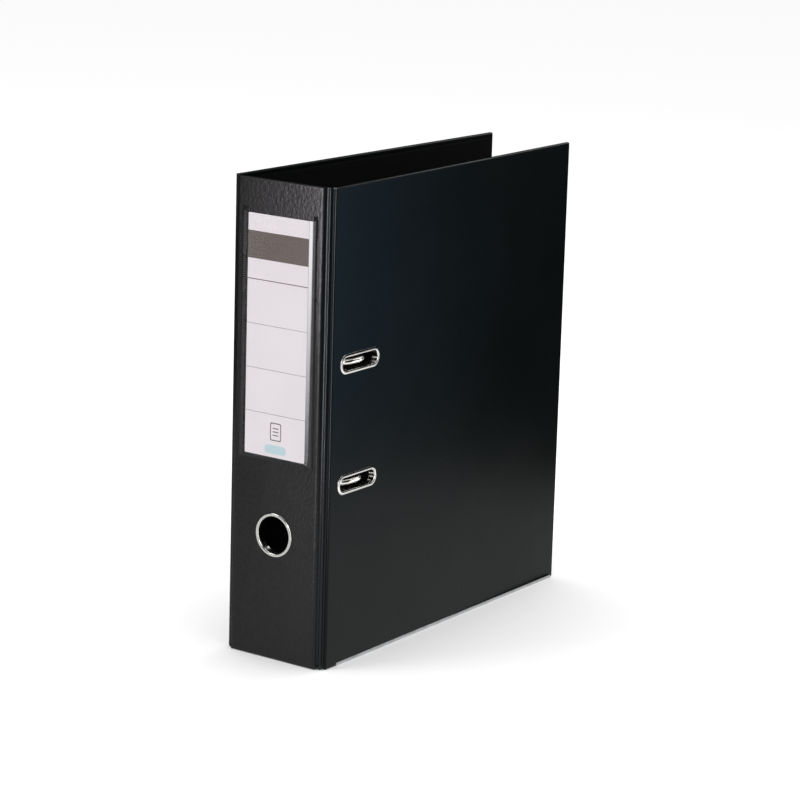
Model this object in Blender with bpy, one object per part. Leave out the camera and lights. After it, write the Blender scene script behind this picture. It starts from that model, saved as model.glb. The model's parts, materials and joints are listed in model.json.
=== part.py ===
"""Lever arch file: three covered boards round a lever arch mechanism.

Metres, +Z up. The file stands on its lower edges. Its spine faces -Y, the back cover is at -X,
the front cover is at +X and the covers open at +Y.

Every piece is laid out square, in the (u, v, w) of its panel: u runs inwards from the panel's
outer face, v runs along the panel (from the spine's face on a cover, from the middle on the
spine) and w is the height. Each body's empty stands on its joint's axis, and the empties of the
two covers turn them in by COVER_LEAN, as the covers of an empty file lean.
"""
import math

import bmesh
import bpy
from mathutils import Vector

# Whole file
HEIGHT = 0.318              # lower edge to upper edge
DEPTH = 0.285               # face of the finger ring to the fore edge
THICKNESS = 0.082           # back cover's outer face to front cover's, at the hinges
HINGE_INSET = 0.006         # cover's outer face to the edge of the spine, along X
HINGE_SETBACK = 0.0052      # spine's outer face to a cover's hinge edge, along Y
COVER_LEAN = math.radians(1.4)

# Clearances
GAP = 0.0003                # between pieces that rest on or in each other
FILM_GAP = 0.00015          # between thin sheets
RUNNING_GAP = 0.0006        # between a slide and its post
SIDE_GAP = 0.0005           # beside a lever or a roller

# Covered board
SKIN = 0.0005               # outer foil
BOARD = 0.0018              # grey board
LINING = 0.0005             # inner foil
LINING_MARGIN = 0.001       # lining's edge to the panel's edge
HINGE_FOIL = 0.0012         # hinge strip, measured along Y

# Metal strip on a cover's lower edge
STRIP_WALL = 0.0005
STRIP_HEIGHT = 0.0022
STRIP_START = 0.0115        # from the hinge edge
STRIP_END = 0.0025          # from the fore edge

# Label pocket on the spine
LABEL_WIDTH = 0.050
LABEL_HEIGHT = 0.1586
LABEL_BOTTOM = 0.1368
LABEL_SHEET = 0.0002
POCKET_WIDTH = 0.0625
POCKET_BOTTOM = 0.134
POCKET_TOP = 0.299
POCKET_FILM = 0.0002
WELD = 0.003                # weld down the pocket's sides and along its bottom

# Finger ring in the spine
RING_PROUD = 0.0008
RING_BORE = 0.0125          # radius
RING_TUBE = 0.0006
RING_FLANGE = 0.00225       # width of the face, from the bore
RING_W = 0.085
BACKING = 0.0006            # sheet of the rings clenched on the inside
BACKING_WIDTH = 0.0025

# Slots in the front cover
SLOT_LENGTH = 0.0388
SLOT_WIDTH = 0.0088
SLOT_CORNER = 0.0041
SLOT_V = 0.0353
RIM_PROUD = 0.0005
RIM_TUBE = 0.0006
RIM_FLANGE = 0.0022

# Mechanism on the back cover
MECHANISM_W = 0.162
HOLE_SPACING = 0.080        # between the two posts, and between the two arches
LEG_V = 0.020
POST_V = 0.050
PLATE = 0.001
PLATE_BEYOND = 0.040        # plate's ends beyond the two posts
PLATE_START = 0.012
PLATE_END = 0.064
PLATE_CORNER = 0.005
RIVET_SHANK = 0.002         # radius
RIVET_HEAD = 0.0038         # radius
RIVET_RISE = 0.0012
RIVET_INSET_V = 0.005
RIVET_INSET_W = 0.008

# Posts and arches
POST_RADIUS = 0.0025
POST_BORE = 0.0015
POST_BORE_DEPTH = 0.020
POST_FOOT = 0.0045          # radius
POST_FOOT_HEIGHT = 0.001
WIRE = 0.002                # radius
ARCH_SINK = 0.003           # arch's centre line below the front cover's outer face
ARCH_CORNER = 0.012
ARCH_TIP = 0.0045           # straight end of the wire that meets a post
AXLE_BEND = 0.004
CRANK_THROW = 0.010
CRANK_REACH = 0.012         # from the roller's middle to each of the crank's ends
CRANK_BEND = 0.003
BEARING_SHEET = 0.001
BEARING_FOOT = 0.004

# Lever
PIVOT_BEYOND = 0.010        # pivot above the upper arch
PIVOT_HEIGHT = 0.012        # above the plate
PIVOT_PIN = 0.0015          # radius
PIN_HEAD = 0.0025           # radius
PIN_HEAD_HEIGHT = 0.0012
LEVER_WIDTH = 0.012
LEVER_SHEET = 0.001
LEVER_TOP = 0.003           # web's outer face above the pivot
LEVER_BELLY = 0.003         # cheeks' edge below the pivot
LEVER_TAIL = 0.006          # lever's end behind the pivot
CHANNEL_SHORT = 0.002       # channel's closed end before the handle's start
HANDLE_BARE = 0.0085        # handle before the grip
HANDLE_RISE = 0.004
HANDLE_SHEET = 0.0012
GRIP_WIDTH = 0.015
GRIP_BEYOND = 0.0065        # grip's start below the lower arch
GRIP_LENGTH = 0.0205
GRIP_END_WALL = 0.005
GRIP_WALL = 0.0025
BRACKET_SHEET = 0.001
BRACKET_LENGTH = 0.010
BRACKET_TOP = 0.0045        # ears above the pivot
ROLLER_RADIUS = 0.0035
ROLLER_LENGTH = 0.008
ROLLER_PIN = 0.0012         # radius
ROLLER_REACH = 0.036        # roller's axis from the lever's pivot
LOBE = 0.004                # half the width of the cheek round the roller's pin
LOBE_DEPTH = 0.0031         # below the roller's axis

# Compressor bar
BAR_REST = 0.004            # lower edge above the plate
BAR_DEPTH = 0.003
BAR_SHEET = 0.001
BAR_WIDTH = 0.0165
BAR_LENGTH = 0.110
CLIP_SIZE = 0.010
CLIP_HEIGHT = 0.004
CLIP_GRIP = 0.0004          # clearance of a clip's hole round its post

# Sizes that follow
STACK = SKIN + GAP + BOARD + GAP + LINING
TRAY = SKIN + GAP + BOARD
PLATE_TOP = STACK + GAP + PLATE
SPINE_Y = RING_PROUD - DEPTH / 2
FORE_V = DEPTH - RING_PROUD
SPINE_HALF = THICKNESS / 2 - HINGE_INSET
AXLE_U = PLATE_TOP + GAP + WIRE
ARCH_TOP_U = THICKNESS - ARCH_SINK - 2 * (SLOT_V - HINGE_SETBACK) * math.tan(COVER_LEAN)
TIP_U = ARCH_TOP_U - ARCH_CORNER - ARCH_TIP
POST_TOP_U = TIP_U - GAP
UPPER = HOLE_SPACING / 2
PLATE_LENGTH = HOLE_SPACING + 2 * PLATE_BEYOND
LEVER_V = LEG_V + CRANK_THROW
PIVOT_W = UPPER + PIVOT_BEYOND
GRIP_START = PIVOT_W + UPPER + GRIP_BEYOND
GRIP_END = GRIP_START + GRIP_LENGTH
HANDLE_START = GRIP_START - HANDLE_BARE
HANDLE_END = GRIP_END - GRIP_END_WALL
CHANNEL_LENGTH = HANDLE_START - CHANNEL_SHORT
CRANK_HIGH = PIVOT_W - ROLLER_REACH + CRANK_REACH
CRANK_LOW = PIVOT_W - ROLLER_REACH - CRANK_REACH
PIVOT_U = PLATE_TOP + PIVOT_HEIGHT
ROLLER_U = AXLE_U + WIRE + GAP + ROLLER_RADIUS
ROLLER_DROP = PIVOT_U - ROLLER_U
SIDES = 24
SMALL_SIDES = 16
BEND_STEPS = 6


# Where a panel's (u, v, w) lies

def on_back(u, v, w):
    """Place on the back cover, laid out square."""
    return Vector((u - THICKNESS / 2, SPINE_Y + v, w))


def on_front(u, v, w):
    """Place on the front cover, laid out square."""
    return Vector((THICKNESS / 2 - u, SPINE_Y + v, w))


def on_spine(u, v, w):
    """Place on the spine."""
    return Vector((v, SPINE_Y + u, w))


# Bodies: an empty on each joint's axis, and the pieces that hang on it

class Body:
    """A rigid group of pieces, whose empty stands on its joint's axis."""

    def __init__(self, name, pivot, parent=None, turn=0.0):
        self.pivot = Vector(pivot)
        self.empty = bpy.data.objects.new(name, None)
        bpy.context.collection.objects.link(self.empty)
        self.empty.parent = parent.empty if parent else None
        self.empty.location = self.pivot - parent.pivot if parent else self.pivot
        self.empty.rotation_euler = (0, 0, turn)

    def add(self, name, data, material):
        """Hang a mesh or a curve, laid out square, on this body."""
        piece = bpy.data.objects.new(name, data)
        bpy.context.collection.objects.link(piece)
        piece.parent = self.empty
        data.materials.append(material)
        return piece

    def add_solid(self, name, solid, material):
        """Hang a bmesh on this body and free it."""
        bmesh.ops.translate(solid, vec=-self.pivot, verts=solid.verts[:])
        mesh = bpy.data.meshes.new(name)
        solid.to_mesh(mesh)
        solid.free()
        mesh.shade_smooth()
        mesh.set_sharp_from_angle(angle=math.radians(35))
        return self.add(name, mesh, material)

    def cut(self, piece, solid):
        """Take a bmesh's shape away from a piece."""
        cutter = self.add_solid(piece.name + "_cutter", solid, piece.data.materials[0])
        cutter.hide_render = True
        cutter.display_type = "WIRE"
        boolean = piece.modifiers.new("cut", "BOOLEAN")
        boolean.operation = "DIFFERENCE"
        boolean.object = cutter


# Shapes

def along_axis(along, step, a, b):
    """The (u, v, w) of a point that lies step along one axis and (a, b) on the other two."""
    return {"u": (step, a, b), "v": (a, step, b), "w": (a, b, step)}[along]


def prism(loops, start, end, along, place):
    """A closed outline and its holes, pushed along one axis."""
    solid = bmesh.new()
    edges = []
    for loop in loops:
        corners = [solid.verts.new(place(*along_axis(along, start, a, b))) for a, b in loop]
        edges += [solid.edges.new((corners[i - 1], corners[i])) for i in range(len(corners))]
    bmesh.ops.triangle_fill(solid, use_beauty=True, use_dissolve=False, edges=edges)
    made = bmesh.ops.extrude_face_region(solid, geom=solid.faces[:])["geom"]
    moved = [item for item in made if isinstance(item, bmesh.types.BMVert)]
    shift = place(*along_axis(along, end, 0, 0)) - place(*along_axis(along, start, 0, 0))
    bmesh.ops.translate(solid, vec=shift, verts=moved)
    bmesh.ops.recalc_face_normals(solid, faces=solid.faces[:])
    return solid


def rectangle(a_low, a_high, b_low, b_high):
    """A rectangle's four corners."""
    return [(a_low, b_low), (a_high, b_low), (a_high, b_high), (a_low, b_high)]


def rounded(centre, half_a, half_b, radius, sides=SIDES):
    """A rectangle with round corners, a slot with round ends or, with no length, a circle."""
    arm_a = half_a - radius
    arm_b = half_b - radius
    quarter = sides // 4
    loop = []
    for corner, (sign_a, sign_b) in enumerate(((1, 1), (-1, 1), (-1, -1), (1, -1))):
        for step in range(quarter + 1):
            angle = (corner + step / quarter) * math.pi / 2
            a = centre[0] + sign_a * arm_a + radius * math.cos(angle)
            b = centre[1] + sign_b * arm_b + radius * math.sin(angle)
            if not loop or math.dist(loop[-1], (a, b)) > GAP / 10:
                loop.append((a, b))
    if math.dist(loop[0], loop[-1]) < GAP / 10:
        loop.pop()
    return loop


def circle(centre, radius, sides=SIDES):
    """A circle's points."""
    return rounded(centre, radius, radius, radius, sides)


def lofted(loops, along, place, closed):
    """A skin over equal loops: a closed ring of them, or a rod with flat ends."""
    solid = bmesh.new()
    rings = []
    for step, loop in loops:
        rings.append([solid.verts.new(place(*along_axis(along, step, a, b))) for a, b in loop])
    pairs = list(zip(rings, rings[1:]))
    if closed:
        pairs.append((rings[-1], rings[0]))
    else:
        solid.faces.new(rings[0])
        solid.faces.new(rings[-1])
    for first, second in pairs:
        for i in range(len(first)):
            solid.faces.new((first[i - 1], first[i], second[i], second[i - 1]))
    bmesh.ops.recalc_face_normals(solid, faces=solid.faces[:])
    return solid


def turned(profile, centre, along, place, closed=False, sides=SMALL_SIDES):
    """A round rod or ring from its profile's (radius, step along the axis) points."""
    loops = [(step, circle(centre, radius, sides)) for radius, step in profile]
    return lofted(loops, along, place, closed)


def slot_ring(profile, place):
    """A ring round a slot: each profile point is (distance out from the slot's wall, u)."""
    loops = []
    for out, u in profile:
        loop = rounded((0, 0), SLOT_LENGTH / 2 + out, SLOT_WIDTH / 2 + out, SLOT_CORNER + out)
        loops.append((u, loop))
    return lofted(loops, "u", place, closed=True)


def bent_route(corners, bends):
    """Points along a polyline whose inner corners are bent to the given radii."""
    points = [corners[0]]
    for i, bend in enumerate(bends, start=1):
        into = (corners[i] - corners[i - 1]).normalized()
        out = (corners[i + 1] - corners[i]).normalized()
        turn = into.angle(out)
        start = corners[i] - into * bend * math.tan(turn / 2)
        side = (out - into * into.dot(out)).normalized()
        for step in range(BEND_STEPS + 1):
            angle = turn * step / BEND_STEPS
            points.append(start + into * bend * math.sin(angle) + side * bend * (1 - math.cos(angle)))
    points.append(corners[-1])
    return points


def wire(body, name, points, radius, material):
    """A round wire along the points."""
    curve = bpy.data.curves.new(name, "CURVE")
    curve.dimensions = "3D"
    curve.bevel_depth = radius
    curve.bevel_resolution = 2
    curve.use_fill_caps = True
    spline = curve.splines.new("POLY")
    spline.points.add(len(points) - 1)
    for knot, point in zip(spline.points, points):
        knot.co = (*(point - body.pivot), 1)
    return body.add(name, curve, material)


# Materials

def finish(name, colour, roughness, metallic=0.0, alpha=1.0):
    """A plain surface of one colour."""
    material = bpy.data.materials.new(name)
    material.use_nodes = True
    shader = material.node_tree.nodes["Principled BSDF"]
    shader.inputs["Base Color"].default_value = (*colour, 1)
    shader.inputs["Roughness"].default_value = roughness
    shader.inputs["Metallic"].default_value = metallic
    shader.inputs["Alpha"].default_value = alpha
    return material


def make_finishes():
    """The file's materials, by slot name."""
    return {
        "cover_foil": finish("cover_foil", (0.018, 0.020, 0.022), 0.38),
        "spine_foil": finish("spine_foil", (0.040, 0.039, 0.038), 0.55),
        "inner_foil": finish("inner_foil", (0.012, 0.012, 0.013), 0.45),
        "grey_board": finish("grey_board", (0.25, 0.24, 0.22), 0.90),
        "bright_nickel": finish("bright_nickel", (0.80, 0.79, 0.76), 0.18, metallic=1.0),
        "edge_steel": finish("edge_steel", (0.55, 0.55, 0.55), 0.35, metallic=1.0),
        "pocket_film": finish("pocket_film", (0.90, 0.91, 0.92), 0.15, alpha=0.25),
        "label_card": finish("label_card", (0.86, 0.86, 0.85), 0.80),
        "black_plastic": finish("black_plastic", (0.02, 0.02, 0.02), 0.50),
    }


# Covered boards

def panel(body, name, place, v_range, foot, finishes, skin_slot, holes=()):
    """Outer foil round three edges of a board, and the lining on its inner face.

    foot is how far the board's lower edge stands above the ground, and each hole is the
    (loop, loop in the outer foil) that something fixed through the panel needs.
    """
    low, high = v_range
    outer = prism([rectangle(low, high, GAP, HEIGHT)], 0, TRAY, "u", place)
    skin = body.add_solid(name + "_outer_foil", outer, finishes[skin_slot])
    hollow = rectangle(low + SKIN, high - SKIN, -GAP, HEIGHT - SKIN)
    body.cut(skin, prism([hollow], SKIN, 2 * TRAY, "u", place))
    for _, foil_loop in holes:
        body.cut(skin, prism([foil_loop], -SKIN, 2 * TRAY, "u", place))

    inset = SKIN + GAP
    core = rectangle(low + inset, high - inset, foot, HEIGHT - inset)
    loops = [loop for loop, _ in holes]
    board = prism([core] + loops, inset, TRAY, "u", place)
    body.add_solid(name + "_board", board, finishes["grey_board"])

    sheet_low = max(foot, STRIP_HEIGHT + GAP) if foot else LINING_MARGIN
    sheet = rectangle(low + LINING_MARGIN, high - LINING_MARGIN, sheet_low, HEIGHT - LINING_MARGIN)
    lining = prism([sheet] + loops, TRAY + GAP, STACK, "u", place)
    body.add_solid(name + "_lining", lining, finishes["inner_foil"])
    return skin


def edge_strip(body, name, place, skin, finishes):
    """Metal channel pressed over a cover's lower edge, let into its outer foil."""
    start = HINGE_SETBACK + STRIP_START
    end = FORE_V - STRIP_END
    channel = [
        (0, 0), (STACK, 0), (STACK, STRIP_HEIGHT), (STACK - STRIP_WALL, STRIP_HEIGHT),
        (STACK - STRIP_WALL, STRIP_WALL), (STRIP_WALL, STRIP_WALL), (STRIP_WALL, STRIP_HEIGHT),
        (0, STRIP_HEIGHT),
    ]
    body.add_solid(name, prism([channel], start, end, "v", place), finishes["edge_steel"])
    recess = rectangle(start - GAP, end + GAP, -GAP, STRIP_HEIGHT + GAP)
    body.cut(skin, prism([recess], -SKIN, 2 * TRAY, "u", place))


def cover_board_foot():
    """Height of a cover's board, which stands in its edge strip."""
    return STRIP_WALL + GAP


# Spine

def ring_hole(clearance):
    """Hole in the spine round the finger ring's tube."""
    return circle((0, RING_W), RING_BORE + RING_TUBE + clearance)


def make_spine(body, finishes):
    """Spine board with its finger ring, label pocket and two hinge strips."""
    hole = ring_hole(GAP)
    v_range = (-SPINE_HALF, SPINE_HALF)
    panel(body, "spine", on_spine, v_range, 0, finishes, "spine_foil", [(hole, hole)])
    make_finger_ring(body, finishes)
    make_label_pocket(body, finishes)
    for name, side in (("back_hinge_strip", -1), ("front_hinge_strip", 1)):
        make_hinge_strip(body, name, side, finishes)


def make_finger_ring(body, finishes):
    """Flanged tube through the spine, and the washer that it is clenched over."""
    wall = RING_BORE + RING_TUBE
    tube_end = STACK + GAP + BACKING
    profile = [
        (RING_BORE, -RING_PROUD), (RING_BORE + RING_FLANGE, -RING_PROUD),
        (RING_BORE + RING_FLANGE, -FILM_GAP), (wall, -FILM_GAP),
        (wall, tube_end), (RING_BORE, tube_end),
    ]
    ring = turned(profile, (0, RING_W), "u", on_spine, closed=True, sides=2 * SIDES)
    body.add_solid("finger_ring", ring, finishes["bright_nickel"])
    inner = wall + GAP
    outer = wall + BACKING_WIDTH
    profile = [
        (inner, STACK + GAP), (outer, STACK + GAP), (outer, tube_end), (inner, tube_end),
    ]
    washer = turned(profile, (0, RING_W), "u", on_spine, closed=True, sides=2 * SIDES)
    body.add_solid("finger_ring_washer", washer, finishes["bright_nickel"])


def make_label_pocket(body, finishes):
    """Clear film welded to the spine on three sides, and the card in it."""
    half = POCKET_WIDTH / 2
    film_u = -FILM_GAP - LABEL_SHEET - FILM_GAP
    film = rectangle(-half, half, POCKET_BOTTOM, POCKET_TOP)
    solid = prism([film], film_u - POCKET_FILM, -FILM_GAP, "u", on_spine)
    pocket = body.add_solid("label_pocket", solid, finishes["pocket_film"])
    room = rectangle(WELD - half, half - WELD, POCKET_BOTTOM + WELD - GAP, POCKET_TOP + WELD)
    body.cut(pocket, prism([room], film_u, 0, "u", on_spine))
    card_v = LABEL_WIDTH / 2
    bottom = max(LABEL_BOTTOM, POCKET_BOTTOM + WELD)
    card = rectangle(-card_v, card_v, bottom, LABEL_BOTTOM + LABEL_HEIGHT)
    solid = prism([card], -FILM_GAP - LABEL_SHEET, -FILM_GAP, "u", on_spine)
    body.add_solid("label_card", solid, finishes["label_card"])


def make_hinge_strip(body, name, side, finishes):
    """Foil that bridges the corner between the spine and one cover."""
    slope = HINGE_SETBACK / HINGE_INSET
    top = HINGE_SETBACK - GAP
    start = SPINE_HALF + GAP
    section = [
        (GAP * slope, start), (top, SPINE_HALF + top / slope),
        (top, SPINE_HALF + (top - HINGE_FOIL) / slope), (GAP * slope + HINGE_FOIL, start),
    ]
    loop = [(u, side * v) for u, v in section]
    body.add_solid(name, prism([loop], GAP, HEIGHT, "w", on_spine), finishes["spine_foil"])


# Front cover

def slot_heights():
    """Heights of the two slots, and of the two posts and arches behind them."""
    return {"upper": MECHANISM_W + UPPER, "lower": MECHANISM_W - UPPER}


def slot_hole(clearance, height):
    """Hole in the front cover round a slot rim's tube."""
    out = RIM_TUBE + clearance
    centre = (SLOT_V, height)
    return rounded(centre, SLOT_LENGTH / 2 + out, SLOT_WIDTH / 2 + out, SLOT_CORNER + out)


def make_front_cover(body, finishes):
    """Front board with its two rimmed slots and its edge strip."""
    holes = [(slot_hole(GAP, w), slot_hole(GAP, w)) for w in slot_heights().values()]
    v_range = (HINGE_SETBACK, FORE_V)
    foot = cover_board_foot()
    skin = panel(body, "front", on_front, v_range, foot, finishes, "cover_foil", holes)
    edge_strip(body, "front_edge_strip", on_front, skin, finishes)
    for name, height in slot_heights().items():
        make_slot_rim(body, name, height, finishes)


def make_slot_rim(body, name, height, finishes):
    """Flanged rim through the cover, and the ring that it is clenched over."""
    def place(u, v, w):
        return on_front(u, SLOT_V + v, height + w)

    tube_end = STACK + GAP + BACKING
    profile = [
        (0, -RIM_PROUD), (RIM_FLANGE, -RIM_PROUD), (RIM_FLANGE, -FILM_GAP),
        (RIM_TUBE, -FILM_GAP), (RIM_TUBE, tube_end), (0, tube_end),
    ]
    rim = slot_ring(profile, place)
    body.add_solid("slot_rim_" + name, rim, finishes["bright_nickel"])
    inner = RIM_TUBE + GAP
    outer = RIM_TUBE + BACKING_WIDTH
    profile = [
        (inner, STACK + GAP), (outer, STACK + GAP), (outer, tube_end), (inner, tube_end),
    ]
    ring = slot_ring(profile, place)
    body.add_solid("slot_backing_" + name, ring, finishes["bright_nickel"])


# Back cover with the fixed half of the mechanism

def rivet_places():
    """The (v, w) of the four rivets that hold the base plate."""
    low_v = PLATE_START + RIVET_INSET_V
    high_v = PLATE_END - RIVET_INSET_V
    reach = PLATE_LENGTH / 2 - RIVET_INSET_W
    return [(v, MECHANISM_W + w) for v in (low_v, high_v) for w in (-reach, reach)]


def make_back_cover(body, finishes):
    """Back board with its edge strip."""
    holes = []
    for centre in rivet_places():
        shank = circle(centre, RIVET_SHANK + GAP, SMALL_SIDES)
        head = circle(centre, RIVET_HEAD + GAP, SMALL_SIDES)
        holes.append((shank, head))
    v_range = (HINGE_SETBACK, FORE_V)
    foot = cover_board_foot()
    skin = panel(body, "back", on_back, v_range, foot, finishes, "cover_foil", holes)
    edge_strip(body, "back_edge_strip", on_back, skin, finishes)


def make_base_plate(body, finishes):
    """Steel plate that carries the mechanism, and the four rivets that hold it."""
    centre = ((PLATE_START + PLATE_END) / 2, MECHANISM_W)
    half_v = (PLATE_END - PLATE_START) / 2
    loops = [rounded(centre, half_v, PLATE_LENGTH / 2, PLATE_CORNER)]
    for place in rivet_places():
        loops.append(circle(place, RIVET_SHANK + GAP, SMALL_SIDES))
    for height in slot_heights().values():
        loops.append(circle((POST_V, height), POST_RADIUS + GAP, SMALL_SIDES))
    plate = prism(loops, STACK + GAP, PLATE_TOP, "u", on_back)
    body.add_solid("base_plate", plate, finishes["bright_nickel"])
    for number, place in enumerate(rivet_places(), start=1):
        head_u = PLATE_TOP + GAP
        profile = [
            (RIVET_HEAD, 0), (RIVET_HEAD, SKIN), (RIVET_SHANK, SKIN), (RIVET_SHANK, head_u),
            (RIVET_HEAD, head_u), (RIVET_HEAD * 0.9, head_u + RIVET_RISE * 0.6),
            (RIVET_HEAD * 0.5, head_u + RIVET_RISE),
        ]
        rivet = turned(profile, place, "u", on_back)
        body.add_solid("rivet_%d" % number, rivet, finishes["bright_nickel"])


def make_posts(body, finishes):
    """The two fixed posts that the sheets are threaded on."""
    foot_u = PLATE_TOP + GAP
    profile = [
        (POST_RADIUS, STACK + GAP), (POST_RADIUS, foot_u), (POST_FOOT, foot_u),
        (POST_FOOT, foot_u + POST_FOOT_HEIGHT), (POST_RADIUS, foot_u + POST_FOOT_HEIGHT),
        (POST_RADIUS, POST_TOP_U), (POST_BORE, POST_TOP_U),
        (POST_BORE, POST_TOP_U - POST_BORE_DEPTH),
    ]
    for name, height in slot_heights().items():
        post = turned(profile, (POST_V, height), "u", on_back)
        body.add_solid("post_" + name, post, finishes["bright_nickel"])


def bearing_section():
    """Strap bent over the arches' axle, in (u, v)."""
    inner = WIRE + GAP
    outer = inner + BEARING_SHEET
    base = PLATE_TOP + GAP
    foot = outer + BEARING_FOOT
    bend = [math.pi * i / SMALL_SIDES for i in range(SMALL_SIDES + 1)]
    over = [(AXLE_U + outer * math.sin(a), LEG_V - outer * math.cos(a)) for a in bend]
    over = [(u, v) for u, v in over if u > base + BEARING_SHEET]
    under = [(AXLE_U + inner * math.sin(a), LEG_V + inner * math.cos(a)) for a in bend]
    left = [(base, LEG_V - foot), (base + BEARING_SHEET, LEG_V - foot),
            (base + BEARING_SHEET, LEG_V - outer)]
    right = [(base + BEARING_SHEET, LEG_V + outer), (base + BEARING_SHEET, LEG_V + foot),
             (base, LEG_V + foot), (base, LEG_V + inner)]
    return left + over + right + under + [(base, LEG_V - inner)]


def make_bearings(body, finishes):
    """The two straps that the arches' axle turns in."""
    high_room = (CRANK_HIGH + CRANK_BEND + UPPER - AXLE_BEND) / 2
    low_room = (CRANK_LOW - UPPER) / 2
    for name, middle, width in (("upper", high_room, 0.005), ("lower", low_room, 0.010)):
        start = MECHANISM_W + middle - width / 2
        strap = prism([bearing_section()], start, start + width, "w", on_back)
        body.add_solid("arch_bearing_" + name, strap, finishes["bright_nickel"])


def make_lever_bracket(body, finishes):
    """Bracket with two ears, and the pin that the lever turns on."""
    inner = LEVER_WIDTH / 2 + SIDE_GAP
    outer = inner + BRACKET_SHEET
    base = PLATE_TOP + GAP
    floor = base + BRACKET_SHEET
    top = PIVOT_U + BRACKET_TOP
    section = [
        (base, LEVER_V - outer), (top, LEVER_V - outer), (top, LEVER_V - inner),
        (floor, LEVER_V - inner), (floor, LEVER_V + inner), (top, LEVER_V + inner),
        (top, LEVER_V + outer), (base, LEVER_V + outer),
    ]
    middle = MECHANISM_W + PIVOT_W
    start = middle - BRACKET_LENGTH / 2
    solid = prism([section], start, start + BRACKET_LENGTH, "w", on_back)
    bracket = body.add_solid("lever_bracket", solid, finishes["bright_nickel"])
    hole = circle((PIVOT_U, middle), PIVOT_PIN + GAP, SMALL_SIDES)
    reach = outer + SIDE_GAP
    body.cut(bracket, prism([hole], LEVER_V - reach, LEVER_V + reach, "v", on_back))

    head_v = outer + GAP
    end_v = head_v + PIN_HEAD_HEIGHT
    profile = [
        (PIN_HEAD, LEVER_V - end_v), (PIN_HEAD, LEVER_V - head_v), (PIVOT_PIN, LEVER_V - head_v),
        (PIVOT_PIN, LEVER_V + head_v), (PIN_HEAD, LEVER_V + head_v), (PIN_HEAD, LEVER_V + end_v),
    ]
    pin = turned(profile, (PIVOT_U, middle), "v", on_back)
    body.add_solid("lever_pin", pin, finishes["edge_steel"])


# Moving half of the mechanism

def make_arches(body, finishes):
    """One wire bent into both arches, their axle and its crank."""
    crank_v = LEG_V + CRANK_THROW
    uvw = [
        (TIP_U, POST_V, UPPER), (ARCH_TOP_U, POST_V, UPPER), (ARCH_TOP_U, LEG_V, UPPER),
        (AXLE_U, LEG_V, UPPER), (AXLE_U, LEG_V, CRANK_HIGH), (AXLE_U, crank_v, CRANK_HIGH),
        (AXLE_U, crank_v, CRANK_LOW), (AXLE_U, LEG_V, CRANK_LOW), (AXLE_U, LEG_V, -UPPER),
        (ARCH_TOP_U, LEG_V, -UPPER), (ARCH_TOP_U, POST_V, -UPPER), (TIP_U, POST_V, -UPPER),
    ]
    corners = [on_back(u, v, MECHANISM_W + w) for u, v, w in uvw]
    arch = [ARCH_CORNER, ARCH_CORNER, AXLE_BEND]
    bends = arch + [CRANK_BEND] * 4 + arch[::-1]
    wire(body, "arch_bow", bent_route(corners, bends), WIRE, finishes["bright_nickel"])


def on_lever(points):
    """Turn (distance from the pivot, height above the pivot) into (u, w)."""
    return [(PIVOT_U + rise, MECHANISM_W + PIVOT_W - reach) for reach, rise in points]


def handle_rise(reach):
    """Height of the handle's outer face above the pivot."""
    return LEVER_TOP + HANDLE_RISE * (reach - HANDLE_START) / (HANDLE_END - HANDLE_START)


def make_lever(body, finishes):
    """Pressed channel that lifts the arches, with its plastic grip."""
    lobe = -ROLLER_DROP - LOBE_DEPTH
    outline = [
        (-LEVER_TAIL, LEVER_TOP), (HANDLE_START, LEVER_TOP), (HANDLE_END, handle_rise(HANDLE_END)),
        (HANDLE_END, handle_rise(HANDLE_END) - HANDLE_SHEET),
        (HANDLE_START, LEVER_TOP - HANDLE_SHEET), (CHANNEL_LENGTH - LEVER_SHEET, 0),
        (ROLLER_REACH + LOBE + LEVER_BELLY, -LEVER_BELLY), (ROLLER_REACH + LOBE, lobe),
        (ROLLER_REACH - LOBE, lobe), (ROLLER_REACH - LOBE - LEVER_BELLY, -LEVER_BELLY),
        (-LEVER_TAIL, -LEVER_BELLY),
    ]
    half = LEVER_WIDTH / 2
    low, high = LEVER_V - half, LEVER_V + half
    solid = prism([on_lever(outline)], low, high, "v", on_back)
    lever = body.add_solid("lever_arm", solid, finishes["bright_nickel"])
    channel = [
        (-LEVER_TAIL - GAP, LEVER_TOP - LEVER_SHEET),
        (CHANNEL_LENGTH - 2 * LEVER_SHEET, LEVER_TOP - LEVER_SHEET),
        (CHANNEL_LENGTH - 2 * LEVER_SHEET, lobe - LEVER_SHEET),
        (-LEVER_TAIL - GAP, lobe - LEVER_SHEET),
    ]
    body.cut(lever, prism([on_lever(channel)], low + LEVER_SHEET, high - LEVER_SHEET, "v", on_back))
    for reach, rise, radius in ((0, 0, PIVOT_PIN), (ROLLER_REACH, -ROLLER_DROP, ROLLER_PIN)):
        centre = on_lever([(reach, rise)])[0]
        hole = circle(centre, radius + GAP, SMALL_SIDES)
        body.cut(lever, prism([hole], low - LEVER_SHEET, high + LEVER_SHEET, "v", on_back))
    make_lever_grip(body, finishes)
    make_roller_pin(body, finishes)


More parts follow.
